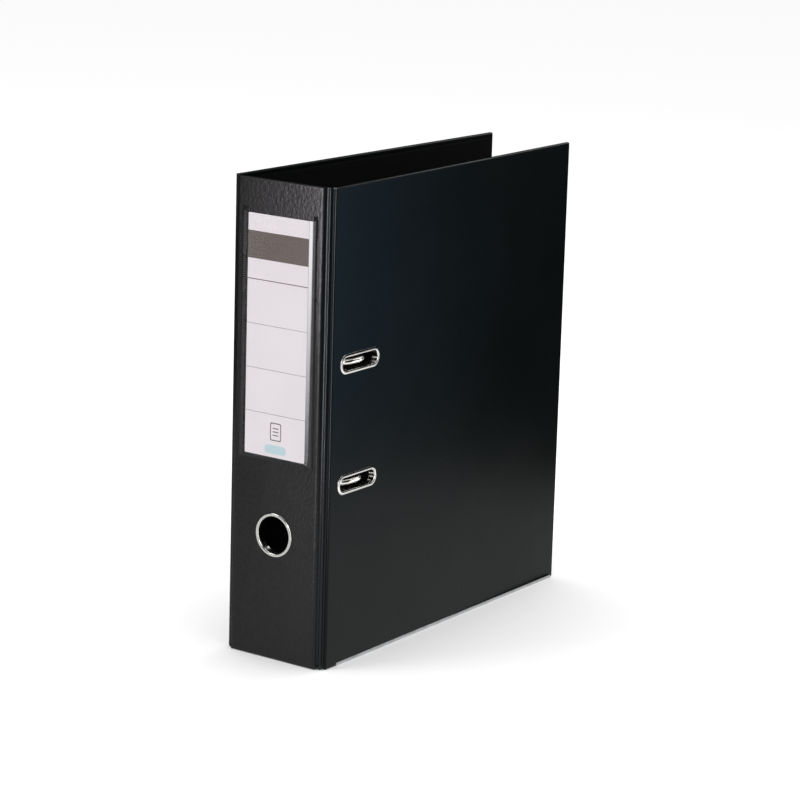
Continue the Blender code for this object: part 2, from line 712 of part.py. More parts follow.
def make_lever_grip(body, finishes):
    """Plastic cap pushed over the handle."""
    def strip(reach, above, below):
        return (reach, handle_rise(reach) + above), (reach, handle_rise(reach) - HANDLE_SHEET - below)

    start_top, start_low = strip(GRIP_START, GRIP_WALL, GRIP_WALL)
    end_top, end_low = strip(GRIP_END, GRIP_WALL, GRIP_WALL)
    nose = GRIP_END - GRIP_WALL
    nose_top, nose_low = strip(nose, 2 * GRIP_WALL, GRIP_WALL)
    outline = [start_top, nose_top, end_top, end_low, nose_low, start_low]
    half = GRIP_WIDTH / 2
    solid = prism([on_lever(outline)], LEVER_V - half, LEVER_V + half, "v", on_back)
    grip = body.add_solid("lever_grip", solid, finishes["black_plastic"])
    mouth_top, mouth_low = strip(GRIP_START - GRIP_WALL, GAP, GAP)
    deep_top, deep_low = strip(HANDLE_END + GAP, GAP, GAP)
    pocket = on_lever([mouth_top, deep_top, deep_low, mouth_low])
    half = LEVER_WIDTH / 2 + GAP
    body.cut(grip, prism([pocket], LEVER_V - half, LEVER_V + half, "v", on_back))


def make_roller_pin(body, finishes):
    """Pin across the lever's cheeks."""
    half = LEVER_WIDTH / 2 + GAP
    centre = on_lever([(ROLLER_REACH, -ROLLER_DROP)])[0]
    profile = [(ROLLER_PIN, LEVER_V - half), (ROLLER_PIN, LEVER_V + half)]
    pin = turned(profile, centre, "v", on_back)
    body.add_solid("roller_pin", pin, finishes["edge_steel"])


def make_roller(body, finishes):
    """Roller that holds the crank down while the lever is down."""
    half = ROLLER_LENGTH / 2
    bore = ROLLER_PIN + GAP
    centre = on_lever([(ROLLER_REACH, -ROLLER_DROP)])[0]
    profile = [
        (bore, LEVER_V - half), (ROLLER_RADIUS, LEVER_V - half),
        (ROLLER_RADIUS, LEVER_V + half), (bore, LEVER_V + half),
    ]
    roller = turned(profile, centre, "v", on_back, closed=True)
    body.add_solid("lever_roller", roller, finishes["edge_steel"])


def make_compressor(body, finishes):
    """Bar that slides down the posts onto the sheets, and the clips that hold it there."""
    low = PLATE_TOP + BAR_REST
    high = low + BAR_DEPTH
    half = BAR_WIDTH / 2
    left, right = POST_V - half, POST_V + half
    section = [
        (low, left), (high, left), (high, right), (low, right), (low, right - BAR_SHEET),
        (high - BAR_SHEET, right - BAR_SHEET), (high - BAR_SHEET, left + BAR_SHEET),
        (low, left + BAR_SHEET),
    ]
    start = MECHANISM_W - BAR_LENGTH / 2
    solid = prism([section], start, start + BAR_LENGTH, "w", on_back)
    bar = body.add_solid("compressor_bar", solid, finishes["bright_nickel"])
    clip_low = high + GAP
    clip_half = CLIP_SIZE / 2
    for name, height in slot_heights().items():
        centre = (POST_V, height)
        hole = circle(centre, POST_RADIUS + RUNNING_GAP, SMALL_SIDES)
        body.cut(bar, prism([hole], low, high + BAR_SHEET, "u", on_back))
        loops = [
            rounded(centre, clip_half, clip_half, BAR_SHEET, SMALL_SIDES),
            circle(centre, POST_RADIUS + CLIP_GRIP, SMALL_SIDES),
        ]
        clip = prism(loops, clip_low, clip_low + CLIP_HEIGHT, "u", on_back)
        body.add_solid("compressor_clip_" + name, clip, finishes["black_plastic"])


def main():
    """Clear the scene and build the file."""
    for leftover in list(bpy.data.objects):
        bpy.data.objects.remove(leftover)
    finishes = make_finishes()

    hinge = on_back(0, HINGE_SETBACK, 0)
    back = Body("back_cover", hinge, turn=-COVER_LEAN)
    spine = Body("spine", hinge, back, turn=COVER_LEAN)
    front = Body("front_cover", on_front(0, HINGE_SETBACK, 0), spine, turn=COVER_LEAN)
    arches = Body("arches", on_back(AXLE_U, LEG_V, MECHANISM_W), back)
    lever = Body("lever", on_back(PIVOT_U, LEVER_V, MECHANISM_W + PIVOT_W), back)
    roller_w = MECHANISM_W + PIVOT_W - ROLLER_REACH
    roller = Body("roller", on_back(ROLLER_U, LEVER_V, roller_w), lever)
    compressor = Body("compressor", on_back(PLATE_TOP + BAR_REST, POST_V, MECHANISM_W), back)

    make_back_cover(back, finishes)
    make_base_plate(back, finishes)
    make_posts(back, finishes)
    make_bearings(back, finishes)
    make_lever_bracket(back, finishes)
    make_spine(spine, finishes)
    make_front_cover(front, finishes)
    make_arches(arches, finishes)
    make_lever(lever, finishes)
    make_roller(roller, finishes)
    make_compressor(compressor, finishes)


main()
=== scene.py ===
"""Looks of the lever arch file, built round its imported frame.

Every new piece is shaped in the square (u, v, w) of its panel: u runs inwards from the panel's
outer face, v runs along the panel from its hinge edge (on the spine, from its middle) and w is
the height. It is then put in its place by that panel, whose place is read from the frame.
"""
import json
import logging
import math
from dataclasses import dataclass
from enum import Enum
from typing import Any, Callable, Iterable, Optional, Sequence

import bmesh
import bpy
from mathutils import Matrix, Vector


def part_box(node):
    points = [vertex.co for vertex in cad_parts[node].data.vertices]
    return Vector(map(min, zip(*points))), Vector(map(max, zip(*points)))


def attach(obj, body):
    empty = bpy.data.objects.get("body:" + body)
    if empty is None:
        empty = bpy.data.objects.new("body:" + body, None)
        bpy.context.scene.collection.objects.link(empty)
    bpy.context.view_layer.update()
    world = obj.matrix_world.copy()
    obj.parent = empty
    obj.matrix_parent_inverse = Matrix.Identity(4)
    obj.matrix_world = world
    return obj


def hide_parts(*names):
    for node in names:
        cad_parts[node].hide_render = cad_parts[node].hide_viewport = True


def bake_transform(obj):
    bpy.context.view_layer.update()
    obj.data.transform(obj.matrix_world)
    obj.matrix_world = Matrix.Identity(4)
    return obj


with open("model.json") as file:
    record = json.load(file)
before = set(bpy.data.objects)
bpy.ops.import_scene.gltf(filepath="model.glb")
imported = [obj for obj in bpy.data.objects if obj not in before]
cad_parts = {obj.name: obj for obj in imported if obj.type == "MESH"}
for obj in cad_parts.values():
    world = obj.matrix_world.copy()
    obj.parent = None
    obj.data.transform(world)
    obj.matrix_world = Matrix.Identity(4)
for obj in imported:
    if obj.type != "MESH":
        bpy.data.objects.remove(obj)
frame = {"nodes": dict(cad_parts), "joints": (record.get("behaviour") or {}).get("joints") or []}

log = logging.getLogger("lever_arch_file")

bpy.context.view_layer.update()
U = Vector((1, 0, 0))
V = Vector((0, 1, 0))
W = Vector((0, 0, 1))
NOWHERE = Vector((0, 0, 0))
MERGE = 0.000002            # points closer than this are one
SHARP = math.radians(32)    # edges that turn more than this stay crisp
NEAR = 0.0001               # slack when an edge is picked by its place
GAP = 0.0003                # between a fixed part and what is clenched or turns round it
CUT_EDGE = 0.00012          # round of a punched sheet's edges
TOOL_REACH = (-0.005, 0.01)     # where a hole's tool starts and ends along u
ROUND_SIDES = 64            # of what is turned, unless a piece says otherwise
BEND_STEPS = 10             # steps of a bend or of a slot's corner
NUMBER = "NodeSocketFloat"
TRIPLE = "NodeSocketVector"

Outline = Sequence[tuple[float, float]]
Loop = Sequence[Vector]
Tone = tuple[float, float, float, float]
EdgeTest = Callable[[bmesh.types.BMEdge], bool]


class Body(Enum):
    """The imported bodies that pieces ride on."""

    BACK = "back_cover"
    SPINE = "spine"
    FRONT = "front_cover"
    ARCHES = "arches"
    LEVER = "lever"
    ROLLER = "roller"
    COMPRESSOR = "compressor"


class Side(Enum):
    """Side of the spine that a cover hangs on, as the sign of its X."""

    BACK = -1
    FRONT = 1


# Shader building

class Graph:
    """Adds nodes to a material or to a shader node group."""

    def __init__(self, tree: bpy.types.NodeTree) -> None:
        """Work on one node tree.

        Args:
            tree: Tree that the nodes are added to.
        """
        self.tree = tree

    def node(self, kind: str, inputs: Optional[dict[Any, Any]] = None,
             **settings: Any) -> bpy.types.Node:
        """Add one node.

        Args:
            kind: Blender's name for the type of node.
            inputs: Value or socket for each input, by name or number.
            **settings: Properties of the node.

        Returns:
            The new node.
        """
        made = self.tree.nodes.new(kind)
        for name, value in settings.items():
            setattr(made, name, value)
        for key, value in (inputs or {}).items():
            if isinstance(value, bpy.types.NodeSocket):
                self.tree.links.new(value, made.inputs[key])
            else:
                made.inputs[key].default_value = value
        return made

    def maths(self, operation: str, first: Any, second: Any = 0.0,
              third: Any = 0.0) -> bpy.types.NodeSocket:
        """Add a Math node and return its result."""
        inputs = {0: first, 1: second, 2: third}
        return self.node("ShaderNodeMath", inputs, operation=operation).outputs[0]

    def vector(self, operation: str, first: Any, second: Any) -> bpy.types.NodeSocket:
        """Add a Vector Math node and return its vector."""
        return self.node("ShaderNodeVectorMath", {0: first, 1: second}, operation=operation).outputs[0]

    def ramp(self, value: Any, low: float, high: float, start: Any, end: Any) -> bpy.types.NodeSocket:
        """Map low..high of a value smoothly onto start..end."""
        inputs = {"Value": value, "From Min": low, "From Max": high, "To Min": start, "To Max": end}
        return self.node("ShaderNodeMapRange", inputs, interpolation_type="SMOOTHSTEP").outputs[0]

    def blend(self, factor: Any, first: Any, second: Any) -> bpy.types.NodeSocket:
        """Mix two colours and return the result."""
        inputs = {0: factor, 6: first, 7: second}
        return self.node("ShaderNodeMix", inputs, data_type="RGBA").outputs[2]


def colour(red: float, green: float, blue: float) -> Tone:
    """An opaque colour from linear red, green and blue."""
    return (red, green, blue, 1.0)


def cube(size: float) -> tuple[float, float, float]:
    """The same size along all three axes."""
    return (size, size, size)


class Effect:
    """A shader node group that is built once and then placed in each material that uses it."""

    name: str
    inputs: dict[str, str]
    outputs: tuple[str, ...]

    def wire(self, graph: Graph, entry: Any, leave: bpy.types.Node) -> None:
        """Add the group's own nodes. Each effect has its own."""
        raise NotImplementedError

    def tree(self) -> bpy.types.NodeTree:
        """Build the group, or hand out the one that was built before.

        Returns:
            The group's node tree.
        """
        tree = bpy.data.node_groups.get(self.name)
        if tree is None:
            tree = bpy.data.node_groups.new(self.name, "ShaderNodeTree")
            for label, kind in self.inputs.items():
                tree.interface.new_socket(label, in_out="INPUT", socket_type=kind)
            for label in self.outputs:
                tree.interface.new_socket(label, in_out="OUTPUT", socket_type=NUMBER)
            graph = Graph(tree)
            entry = graph.node("NodeGroupInput")
            leave = graph.node("NodeGroupOutput")
            self.wire(graph, entry.outputs, leave)
        return tree

    def placed(self, graph: Graph, place: bpy.types.NodeSocket, values: dict[str, Any]) -> bpy.types.Node:
        """Place the group in a material.

        Args:
            graph: Graph of the material.
            place: Object coordinates.
            values: Value of each of the group's other inputs.

        Returns:
            The group's node.
        """
        group = graph.node("ShaderNodeGroup", node_tree=self.tree())
        graph.tree.links.new(place, group.inputs["Vector"])
        for label, value in values.items():
            group.inputs[label].default_value = value
        return group


class PressedGrain(Effect):
    """Fine leather grain pressed in foil: rounded pebbles with creases between them, and a mask of the
    creases for the painted shade that the foil lays in them.
    """

    name = "pressed_grain"
    inputs = {"Vector": TRIPLE, "Cell": TRIPLE}
    outputs = ("Height", "Crease Shade")

    def wire(self, graph: Graph, entry: Any, leave: bpy.types.Node) -> None:
        """Bend round cells a little and lay fine noise over them.

        Args:
            graph: Graph of the group.
            entry: Sockets of its inputs.
            leave: Its output node.
        """
        place = graph.vector("DIVIDE", entry["Vector"], entry["Cell"])
        bent = graph.node("ShaderNodeTexNoise", {"Vector": place, "Scale": 0.55, "Detail": 1.0})
        shifted = graph.vector("ADD", place, bent.outputs["Color"])
        cells = graph.node("ShaderNodeTexVoronoi", {"Vector": shifted, "Scale": 1.0},
                           feature="SMOOTH_F1")
        fine = graph.node("ShaderNodeTexNoise", {"Vector": place, "Scale": 2.6, "Detail": 2.0})
        pebble = graph.ramp(cells.outputs["Distance"], 0.15, 0.75, 1.0, 0.0)
        rough = graph.maths("MULTIPLY", fine.outputs["Fac"], 0.35)
        height = graph.maths("MULTIPLY_ADD", pebble, 0.65, rough)
        graph.tree.links.new(height, leave.inputs["Height"])
        # mask of the creases, where the foil paints in shade
        crease = graph.ramp(pebble, 0.0, 0.45, 1.0, 0.0)
        graph.tree.links.new(crease, leave.inputs["Crease Shade"])


class Handling(Effect):
    """Slow change over a surface that has been handled."""

    name = "handling"
    inputs = {"Vector": TRIPLE, "Spread": TRIPLE, "Low": NUMBER, "High": NUMBER}
    outputs = ("Value",)

    def wire(self, graph: Graph, entry: Any, leave: bpy.types.Node) -> None:
        """Map slow noise onto the two values.

        Args:
            graph: Graph of the group.
            entry: Sockets of its inputs.
            leave: Its output node.
        """
        place = graph.vector("DIVIDE", entry["Vector"], entry["Spread"])
        slow = graph.node("ShaderNodeTexNoise", {"Vector": place, "Scale": 1.0, "Detail": 3.0})
        value = graph.ramp(slow.outputs["Fac"], 0.3, 0.7, entry["Low"], entry["High"])
        graph.tree.links.new(value, leave.inputs["Value"])


class RubbedEdges(Effect):
    """Mask of the outward edges that hands and shelves rub."""

    name = "rubbed_edges"
    inputs = {"Vector": TRIPLE, "Spread": TRIPLE, "Amount": NUMBER}
    outputs = ("Mask",)

    def wire(self, graph: Graph, entry: Any, leave: bpy.types.Node) -> None:
        """Take the outward edges and break them up in patches.

        Args:
            graph: Graph of the group.
            entry: Sockets of its inputs.
            leave: Its output node.
        """
        shape = graph.node("ShaderNodeNewGeometry")
        edge = graph.ramp(shape.outputs["Pointiness"], 0.505, 0.56, 0.0, 1.0)
        place = graph.vector("DIVIDE", entry["Vector"], entry["Spread"])
        patch = graph.node("ShaderNodeTexNoise", {"Vector": place, "Scale": 1.0, "Detail": 4.0})
        broken = graph.ramp(patch.outputs["Fac"], 0.35, 0.65, 0.4, 1.0)
        mask = graph.maths("MULTIPLY", edge, broken)
        graph.tree.links.new(graph.maths("MULTIPLY", mask, entry["Amount"]), leave.inputs["Mask"])


class PrintedPatch(Effect):
    """Mask of one printed patch: a rectangle with round corners, seen from the card's face."""

    name = "printed_patch"
    inputs = {"Vector": TRIPLE, "Centre": TRIPLE, "Arm": TRIPLE, "Corner": NUMBER, "Softness": NUMBER}
    outputs = ("Mask",)

    def wire(self, graph: Graph, entry: Any, leave: bpy.types.Node) -> None:
        """Measure how far a point is beyond the patch's round corners and straight sides.

        Args:
            graph: Graph of the group.
            entry: Sockets of its inputs.
            leave: Its output node.
        """
        away = graph.vector("SUBTRACT", entry["Vector"], entry["Centre"])
        folded = graph.node("ShaderNodeVectorMath", {0: away}, operation="ABSOLUTE").outputs[0]
        flat = graph.vector("MULTIPLY", folded, (1, 0, 1))
        over = graph.vector("SUBTRACT", flat, entry["Arm"])
        outside = graph.vector("MAXIMUM", over, (0, 0, 0))
        length = graph.node("ShaderNodeVectorMath", {0: outside}, operation="LENGTH").outputs["Value"]
        beyond = graph.maths("SUBTRACT", length, entry["Corner"])
        edge = graph.maths("DIVIDE", beyond, entry["Softness"])
        graph.tree.links.new(graph.ramp(edge, -1.0, 1.0, 1.0, 0.0), leave.inputs["Mask"])


# Finishes

@dataclass(frozen=True)
class Finish:
    """What every finish has: its slot in the record and a way to make its material."""

    slot: str
    name: str

    def material(self) -> bpy.types.Material:
        """Make the finish's material, or hand out the one that was made before.

        Returns:
            The material.
        """
        made = bpy.data.materials.get(self.name)
        if made is None:
            made = bpy.data.materials.new(self.name)
            made.use_nodes = True
            graph = Graph(made.node_tree)
            shader = made.node_tree.nodes["Principled BSDF"]
            place = graph.node("ShaderNodeTexCoord").outputs["Object"]
            self.wire(graph, shader, place)
        return made

    def wire(self, graph: Graph, shader: bpy.types.Node, place: bpy.types.NodeSocket) -> None:
        """Set and link the shader. Each finish has its own."""
        raise NotImplementedError

    def handled(self, graph: Graph, place: Any, spread: float, low: float, high: float) -> Any:
        """Slow change between two values over the surface."""
        values = {"Spread": cube(spread), "Low": low, "High": high}
        return Handling().placed(graph, place, values).outputs["Value"]

    def grained(self, graph: Graph, place: Any, cell: tuple[float, float, float]) -> bpy.types.Node:
        """The pressed grain with its cells at one size."""
        return PressedGrain().placed(graph, place, {"Cell": cell})

    def rubbed(self, graph: Graph, place: Any, spread: float, amount: float) -> Any:
        """Mask of the rubbed edges."""
        values = {"Spread": cube(spread), "Amount": amount}
        return RubbedEdges().placed(graph, place, values).outputs["Mask"]

    def bumped(self, graph: Graph, shader: bpy.types.Node, height: Any, depth: float) -> None:
        """Give the shader relief of a depth in metres."""
        bump = graph.node("ShaderNodeBump", {"Height": height, "Distance": depth, "Strength": 1.0})
        graph.tree.links.new(bump.outputs["Normal"], shader.inputs["Normal"])


@dataclass(frozen=True)
class Foil(Finish):
    """Polypropylene foil welded round a board, with a pressed grain and painted shade in the grain's
    creases.
    """

    base: Tone
    faded: Tone
    dull: tuple[float, float]               # lowest and highest roughness
    cell: tuple[float, float, float]        # size of the grain's cells
    depth: float                            # depth of the grain
    painted_crease_shade: float                      # how dark the painted shade in the grain's creases is
    gloss: float
    tone_spread: float = 0.11
    dull_spread: float = 0.07
    wear_spread: float = 0.004
    wear: float = 0.55
    # colour of the painted shade in the grain's creases
    crease: Tone = colour(0.002, 0.002, 0.002)

    def wire(self, graph: Graph, shader: bpy.types.Node, place: bpy.types.NodeSocket) -> None:
        """Grain, painted shade in its creases, rubbed edges and slow changes of tone and gloss.

        Args:
            graph: Graph of the material.
            shader: Its Principled BSDF.
            place: Object coordinates.
        """
        grain = self.grained(graph, place, self.cell)
        tone = self.handled(graph, place, self.tone_spread, 0.0, 0.5)
        edges = self.rubbed(graph, place, self.wear_spread, self.wear)
        body = graph.blend(tone, self.base, self.faded)
        # painted shade: the grain's creases darken the colour
        crease = graph.maths("MULTIPLY", grain.outputs["Crease Shade"], self.painted_crease_shade)
        dark = graph.blend(crease, body, self.crease)
        worn = graph.blend(edges, dark, self.faded)
        graph.tree.links.new(worn, shader.inputs["Base Color"])
        rough = self.handled(graph, place, self.dull_spread, *self.dull)
        graph.tree.links.new(rough, shader.inputs["Roughness"])
        shader.inputs["Specular IOR Level"].default_value = self.gloss
        self.bumped(graph, shader, grain.outputs["Height"], self.depth)


@dataclass(frozen=True)
class Plating(Finish):
    """Bright or dull metal plate: slow changes of tone and gloss, and fine drawn scratches."""

    base: Tone
    shade: Tone
    dull: tuple[float, float]               # lowest and highest roughness
    scratch: float                          # depth of the scratches
    tone_spread: float = 0.012
    dull_spread: float = 0.006
    drawn: tuple[float, float, float] = (900.0, 900.0, 120.0)   # scratches per metre, each way

    def wire(self, graph: Graph, shader: bpy.types.Node, place: bpy.types.NodeSocket) -> None:
        """Tone, roughness and relief of the plating.

        Args:
            graph: Graph of the material.
            shader: Its Principled BSDF.
            place: Object coordinates.
        """
        tone = self.handled(graph, place, self.tone_spread, 0.0, 0.7)
        graph.tree.links.new(graph.blend(tone, self.base, self.shade), shader.inputs["Base Color"])
        rough = self.handled(graph, place, self.dull_spread, *self.dull)
        graph.tree.links.new(rough, shader.inputs["Roughness"])
        stretched = graph.node("ShaderNodeMapping", {"Vector": place, "Scale": self.drawn})
        inputs = {"Vector": stretched.outputs[0], "Scale": 1.0, "Detail": 2.0}
        draw = graph.node("ShaderNodeTexNoise", inputs)
        shader.inputs["Metallic"].default_value = 1.0
        self.bumped(graph, shader, draw.outputs["Fac"], self.scratch)


@dataclass(frozen=True)
class Fibre(Finish):
    """Paper or board: flecks of fibre in a soft matt sheet."""

    base: Tone
    fleck: Tone
    dull: float
    fibre: float                            # size of the fibres
    depth: float                            # depth of their relief
    gloss: float

    def wire(self, graph: Graph, shader: bpy.types.Node, place: bpy.types.NodeSocket) -> None:
        """Fibres in the colour and in the relief.

        Args:
            graph: Graph of the material.
            shader: Its Principled BSDF.
            place: Object coordinates.
        """
        size = graph.vector("DIVIDE", place, cube(self.fibre))
        inputs = {"Vector": size, "Scale": 1.0, "Detail": 5.0, "Distortion": 0.8}
        mesh = graph.node("ShaderNodeTexNoise", inputs)
        flecks = graph.ramp(mesh.outputs["Fac"], 0.45, 0.75, 0.0, 1.0)
        graph.tree.links.new(graph.blend(flecks, self.base, self.fleck), shader.inputs["Base Color"])
        shader.inputs["Roughness"].default_value = self.dull
        shader.inputs["Specular IOR Level"].default_value = self.gloss
        self.bumped(graph, shader, mesh.outputs["Fac"], self.depth)


@dataclass(frozen=True)
class Moulding(Finish):
    """Moulded or pressed plastic with a fine dull skin."""

    base: Tone
    worn: Tone
    dull: tuple[float, float]               # lowest and highest roughness
    skin: float = 0.00025                   # size of the skin's cells
    depth: float = 0.00002                  # depth of the skin
    wear_spread: float = 0.002
    wear: float = 0.5
    dull_spread: float = 0.01

    def wire(self, graph: Graph, shader: bpy.types.Node, place: bpy.types.NodeSocket) -> None:
        """Skin, wear along the edges and gloss.

        Args:
            graph: Graph of the material.
            shader: Its Principled BSDF.
            place: Object coordinates.
        """
        grain = self.grained(graph, place, cube(self.skin))
        edges = self.rubbed(graph, place, self.wear_spread, self.wear)
        graph.tree.links.new(graph.blend(edges, self.base, self.worn), shader.inputs["Base Color"])
        rough = self.handled(graph, place, self.dull_spread, *self.dull)
        graph.tree.links.new(rough, shader.inputs["Roughness"])
        self.bumped(graph, shader, grain.outputs["Height"], self.depth)


@dataclass(frozen=True)
class ClearFilm(Finish):
    """Clear film: almost unseen where it lies flat, whitened on its sloped side by haze and by a painted
    sheen that is strongest at the top.
    """

    haze_and_sheen_start: float                       # across the film, where the haze and painted sheen begin
    haze_and_sheen_end: float                         # and where they are full
    haze_and_sheen_low: float                         # height up to which they are thin
    haze_and_sheen_high: float                        # and from which they are full: this rise with height is painted sheen
    thin: float = 0.08
    full: float = 0.85
    gloss: float = 0.2
    clear: Tone = colour(0.55, 0.56, 0.58)
    # white of the haze and of the painted sheen
    haze_and_sheen: Tone = colour(0.80, 0.79, 0.80)

    def wire(self, graph: Graph, shader: bpy.types.Node, place: bpy.types.NodeSocket) -> None:
        """Haze and painted sheen that grow across the film's sloped side and fade towards its foot.

        Args:
            graph: Graph of the material.
            shader: Its Principled BSDF.
            place: Object coordinates.
        """
        axes = graph.node("ShaderNodeSeparateXYZ", {"Vector": place})
        across = graph.ramp(axes.outputs["X"], self.haze_and_sheen_start, self.haze_and_sheen_end, 0.0, 1.0)
        # painted sheen: whiter towards the top of the film
        height = graph.ramp(axes.outputs["Z"], self.haze_and_sheen_low, self.haze_and_sheen_high, self.thin, self.full)
        haze_and_sheen = graph.maths("MULTIPLY", across, height)
        smear = self.handled(graph, place, 0.03, 0.005, 0.02)
        graph.tree.links.new(graph.maths("ADD", haze_and_sheen, smear), shader.inputs["Alpha"])
        graph.tree.links.new(graph.blend(haze_and_sheen, self.clear, self.haze_and_sheen), shader.inputs["Base Color"])
        rough = self.handled(graph, place, 0.02, 0.20, 0.35)
        graph.tree.links.new(rough, shader.inputs["Roughness"])
        shader.inputs["Specular IOR Level"].default_value = self.gloss


@dataclass(frozen=True)
class Ink:
    """One printed patch on the label card, in the card's (v, w), with its colour."""

    middle: tuple[float, float]
    half: tuple[float, float]
    corner: float
    tone: Tone


@dataclass(frozen=True)
class PrintedCard(Finish):
    """White card with printed patches, one over the other."""

    inks: tuple[Ink, ...]
    face: Tone = colour(0.645, 0.600, 0.628)
    fleck: Tone = colour(0.618, 0.575, 0.602)
    softness: float = 0.0001                # width over which an ink's edge fades
    dull: float = 0.6
    gloss: float = 0.1
    fibres: float = 1400.0                  # fibres per metre
    depth: float = 0.00001                  # depth of their relief

    def wire(self, graph: Graph, shader: bpy.types.Node, place: bpy.types.NodeSocket) -> None:
        """Card fibres under the inks.

        Args:
            graph: Graph of the material.
            shader: Its Principled BSDF.
            place: Object coordinates.
        """
        inputs = {"Vector": place, "Scale": self.fibres, "Detail": 3.0}
        fibres = graph.node("ShaderNodeTexNoise", inputs)
        tone = graph.ramp(fibres.outputs["Fac"], 0.35, 0.7, 0.0, 1.0)
        face = graph.blend(tone, self.face, self.fleck)
        for ink in self.inks:
            arm = (ink.half[0] - ink.corner, 0.0, ink.half[1] - ink.corner)
            patch = PrintedPatch().placed(graph, place, {
                "Centre": (ink.middle[0], 0.0, ink.middle[1]), "Arm": arm,
                "Corner": ink.corner, "Softness": self.softness})
            face = graph.blend(patch.outputs["Mask"], face, ink.tone)
        graph.tree.links.new(face, shader.inputs["Base Color"])
        shader.inputs["Roughness"].default_value = self.dull
        shader.inputs["Specular IOR Level"].default_value = self.gloss
        self.bumped(graph, shader, fibres.outputs["Fac"], self.depth)


# Foils, in order: slot, name, base, faded, roughness, grain cell, grain depth, painted shade in the
# grain's creases, gloss.
COVER_FOIL = Foil("cover_foil", "satin_cover_foil", colour(0.0018, 0.0030, 0.0028),
                  colour(0.0035, 0.0052, 0.0050), (0.30, 0.37), (0.0022, 0.0022, 0.0026),
                  0.00003, 0.15, 0.18)
SPINE_FOIL = Foil("spine_foil", "grained_spine_foil", colour(0.0068, 0.0064, 0.0066),
                  colour(0.0125, 0.0120, 0.0122), (0.36, 0.44), (0.0017, 0.0017, 0.0025),
                  0.00017, 0.35, 0.25)
HINGE_FOIL = Foil("spine_foil", "creased_hinge_foil", colour(0.0030, 0.0040, 0.0050),
                  colour(0.0080, 0.0090, 0.0105), (0.28, 0.36), (0.0020, 0.0020, 0.0040),
                  0.00004, 0.2, 0.35)
LINING_PAPER = Fibre("inner_foil", "black_lining_paper", colour(0.0018, 0.0022, 0.0020),
                     colour(0.0042, 0.0046, 0.0044), 0.7, 0.0006, 0.00002, 0.12)
GREY_BOARD = Fibre("grey_board", "grey_board", colour(0.20, 0.19, 0.17),
                   colour(0.32, 0.30, 0.27), 0.9, 0.0009, 0.0001, 0.3)
NICKEL = Plating("bright_nickel", "bright_nickel", colour(0.80, 0.79, 0.765),
                 colour(0.66, 0.65, 0.63), (0.12, 0.22), 0.000004)
EDGE_STEEL = Plating("edge_steel", "brushed_edge_steel", colour(0.62, 0.62, 0.64),
                     colour(0.50, 0.50, 0.52), (0.30, 0.42), 0.00001)
GRIP_PLASTIC = Moulding("black_plastic", "moulded_black_plastic", colour(0.010, 0.010, 0.011),
                        colour(0.035, 0.035, 0.036), (0.35, 0.5))
WELDED_BORDER = Moulding("pocket_film", "welded_film_border", colour(0.004, 0.004, 0.005),
                         colour(0.02, 0.02, 0.022), (0.25, 0.40))
# ribs coloured lighter than the weld: a painted sheen on them
PAINTED_SHEEN_RIBS = Moulding("pocket_film", "pressed_film_ribs_painted_sheen", colour(0.014, 0.013, 0.014),
                        colour(0.030, 0.028, 0.030), (0.45, 0.60))


# Panels

class Panel:
    """The square (u, v, w) of a board: where its pieces are shaped, and where they then go."""

    def __init__(self, corner: Vector, inward: Vector, along: Vector) -> None:
        """Set the panel's place.

        Args:
            corner: Point of the outer face where v and w are 0.
            inward: Direction of u.
            along: Direction of v.
        """
        columns = [inward.to_4d(), along.to_4d(), W.to_4d(), corner.to_4d()]
        for column in columns[:3]:
            column.w = 0
        self.place = Matrix(columns).transposed()
        self.mirrored = self.place.determinant() < 0

    def extent(self, node: str) -> tuple[Vector, Vector]:
        """Lowest and highest (u, v, w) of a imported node.

        Args:
            node: Name of the node.

        Returns:
            The two corners of its box in this panel.
        """
        back = self.place.inverted()
        points = [back @ vertex.co for vertex in frame["nodes"][node].data.vertices]
        low = Vector([min(p[i] for p in points) for i in range(3)])
        high = Vector([max(p[i] for p in points) for i in range(3)])
        return low, high

    def middle(self, node: str) -> Vector:
        """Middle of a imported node's box."""
        low, high = self.extent(node)
        return (low + high) / 2

    def centre(self, node: str, axis: int = 0) -> Vector:
        """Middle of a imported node's box, moved along one axis to where its coordinate is 0.

        Args:
            node: Name of the node.
            axis: 0, 1 or 2 for u, v or w.

        Returns:
            The point, which a turned or rimmed piece is made round.
        """
        point = self.middle(node)
        point[axis] = 0
        return point


def hinge_point(name: str) -> Vector:
    """Place of a hinge's axis on the ground."""
    joint = next(j for j in frame["joints"] if j["name"] == name)
    return Vector((joint["pos_m"][0], joint["pos_m"][1], 0.0))


def cover_panel(node: str, hinge: str, side: Side) -> Panel:
    """The panel of a cover, from its hinge and the lean of its outer face.

    Args:
        node: The cover's outer foil.
        hinge: Name of its joint.
        side: Side of the spine it is on.

    Returns:
        The cover's panel.
    """
    corners = [vertex.co for vertex in frame["nodes"][node].data.vertices]
    near = max(corners, key=lambda c: abs(c.x))
    far = max(corners, key=lambda c: c.y)
    lean = math.atan2(abs(near.x) - abs(far.x), far.y - near.y)
    sign = side.value
    inward = Vector((-sign * math.cos(lean), -math.sin(lean), 0))
    along = Vector((-sign * math.sin(lean), math.cos(lean), 0))
    return Panel(hinge_point(hinge), inward, along)


def spine_panel() -> Panel:
    """The panel of the spine, whose v is 0 in its middle."""
    low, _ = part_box("spine_outer_foil")
    return Panel(Vector((0, low.y, 0)), V, U)


# Workbench

def only(kind: type, items: Iterable[Any]) -> list[Any]:
    """Those items of an operator's result that are of one kind."""
    return [item for item in items if isinstance(item, kind)]


def once(items: Iterable[Any]) -> list[Any]:
    """Each item once, in the order in which it is met first."""
    return list(dict.fromkeys(items))


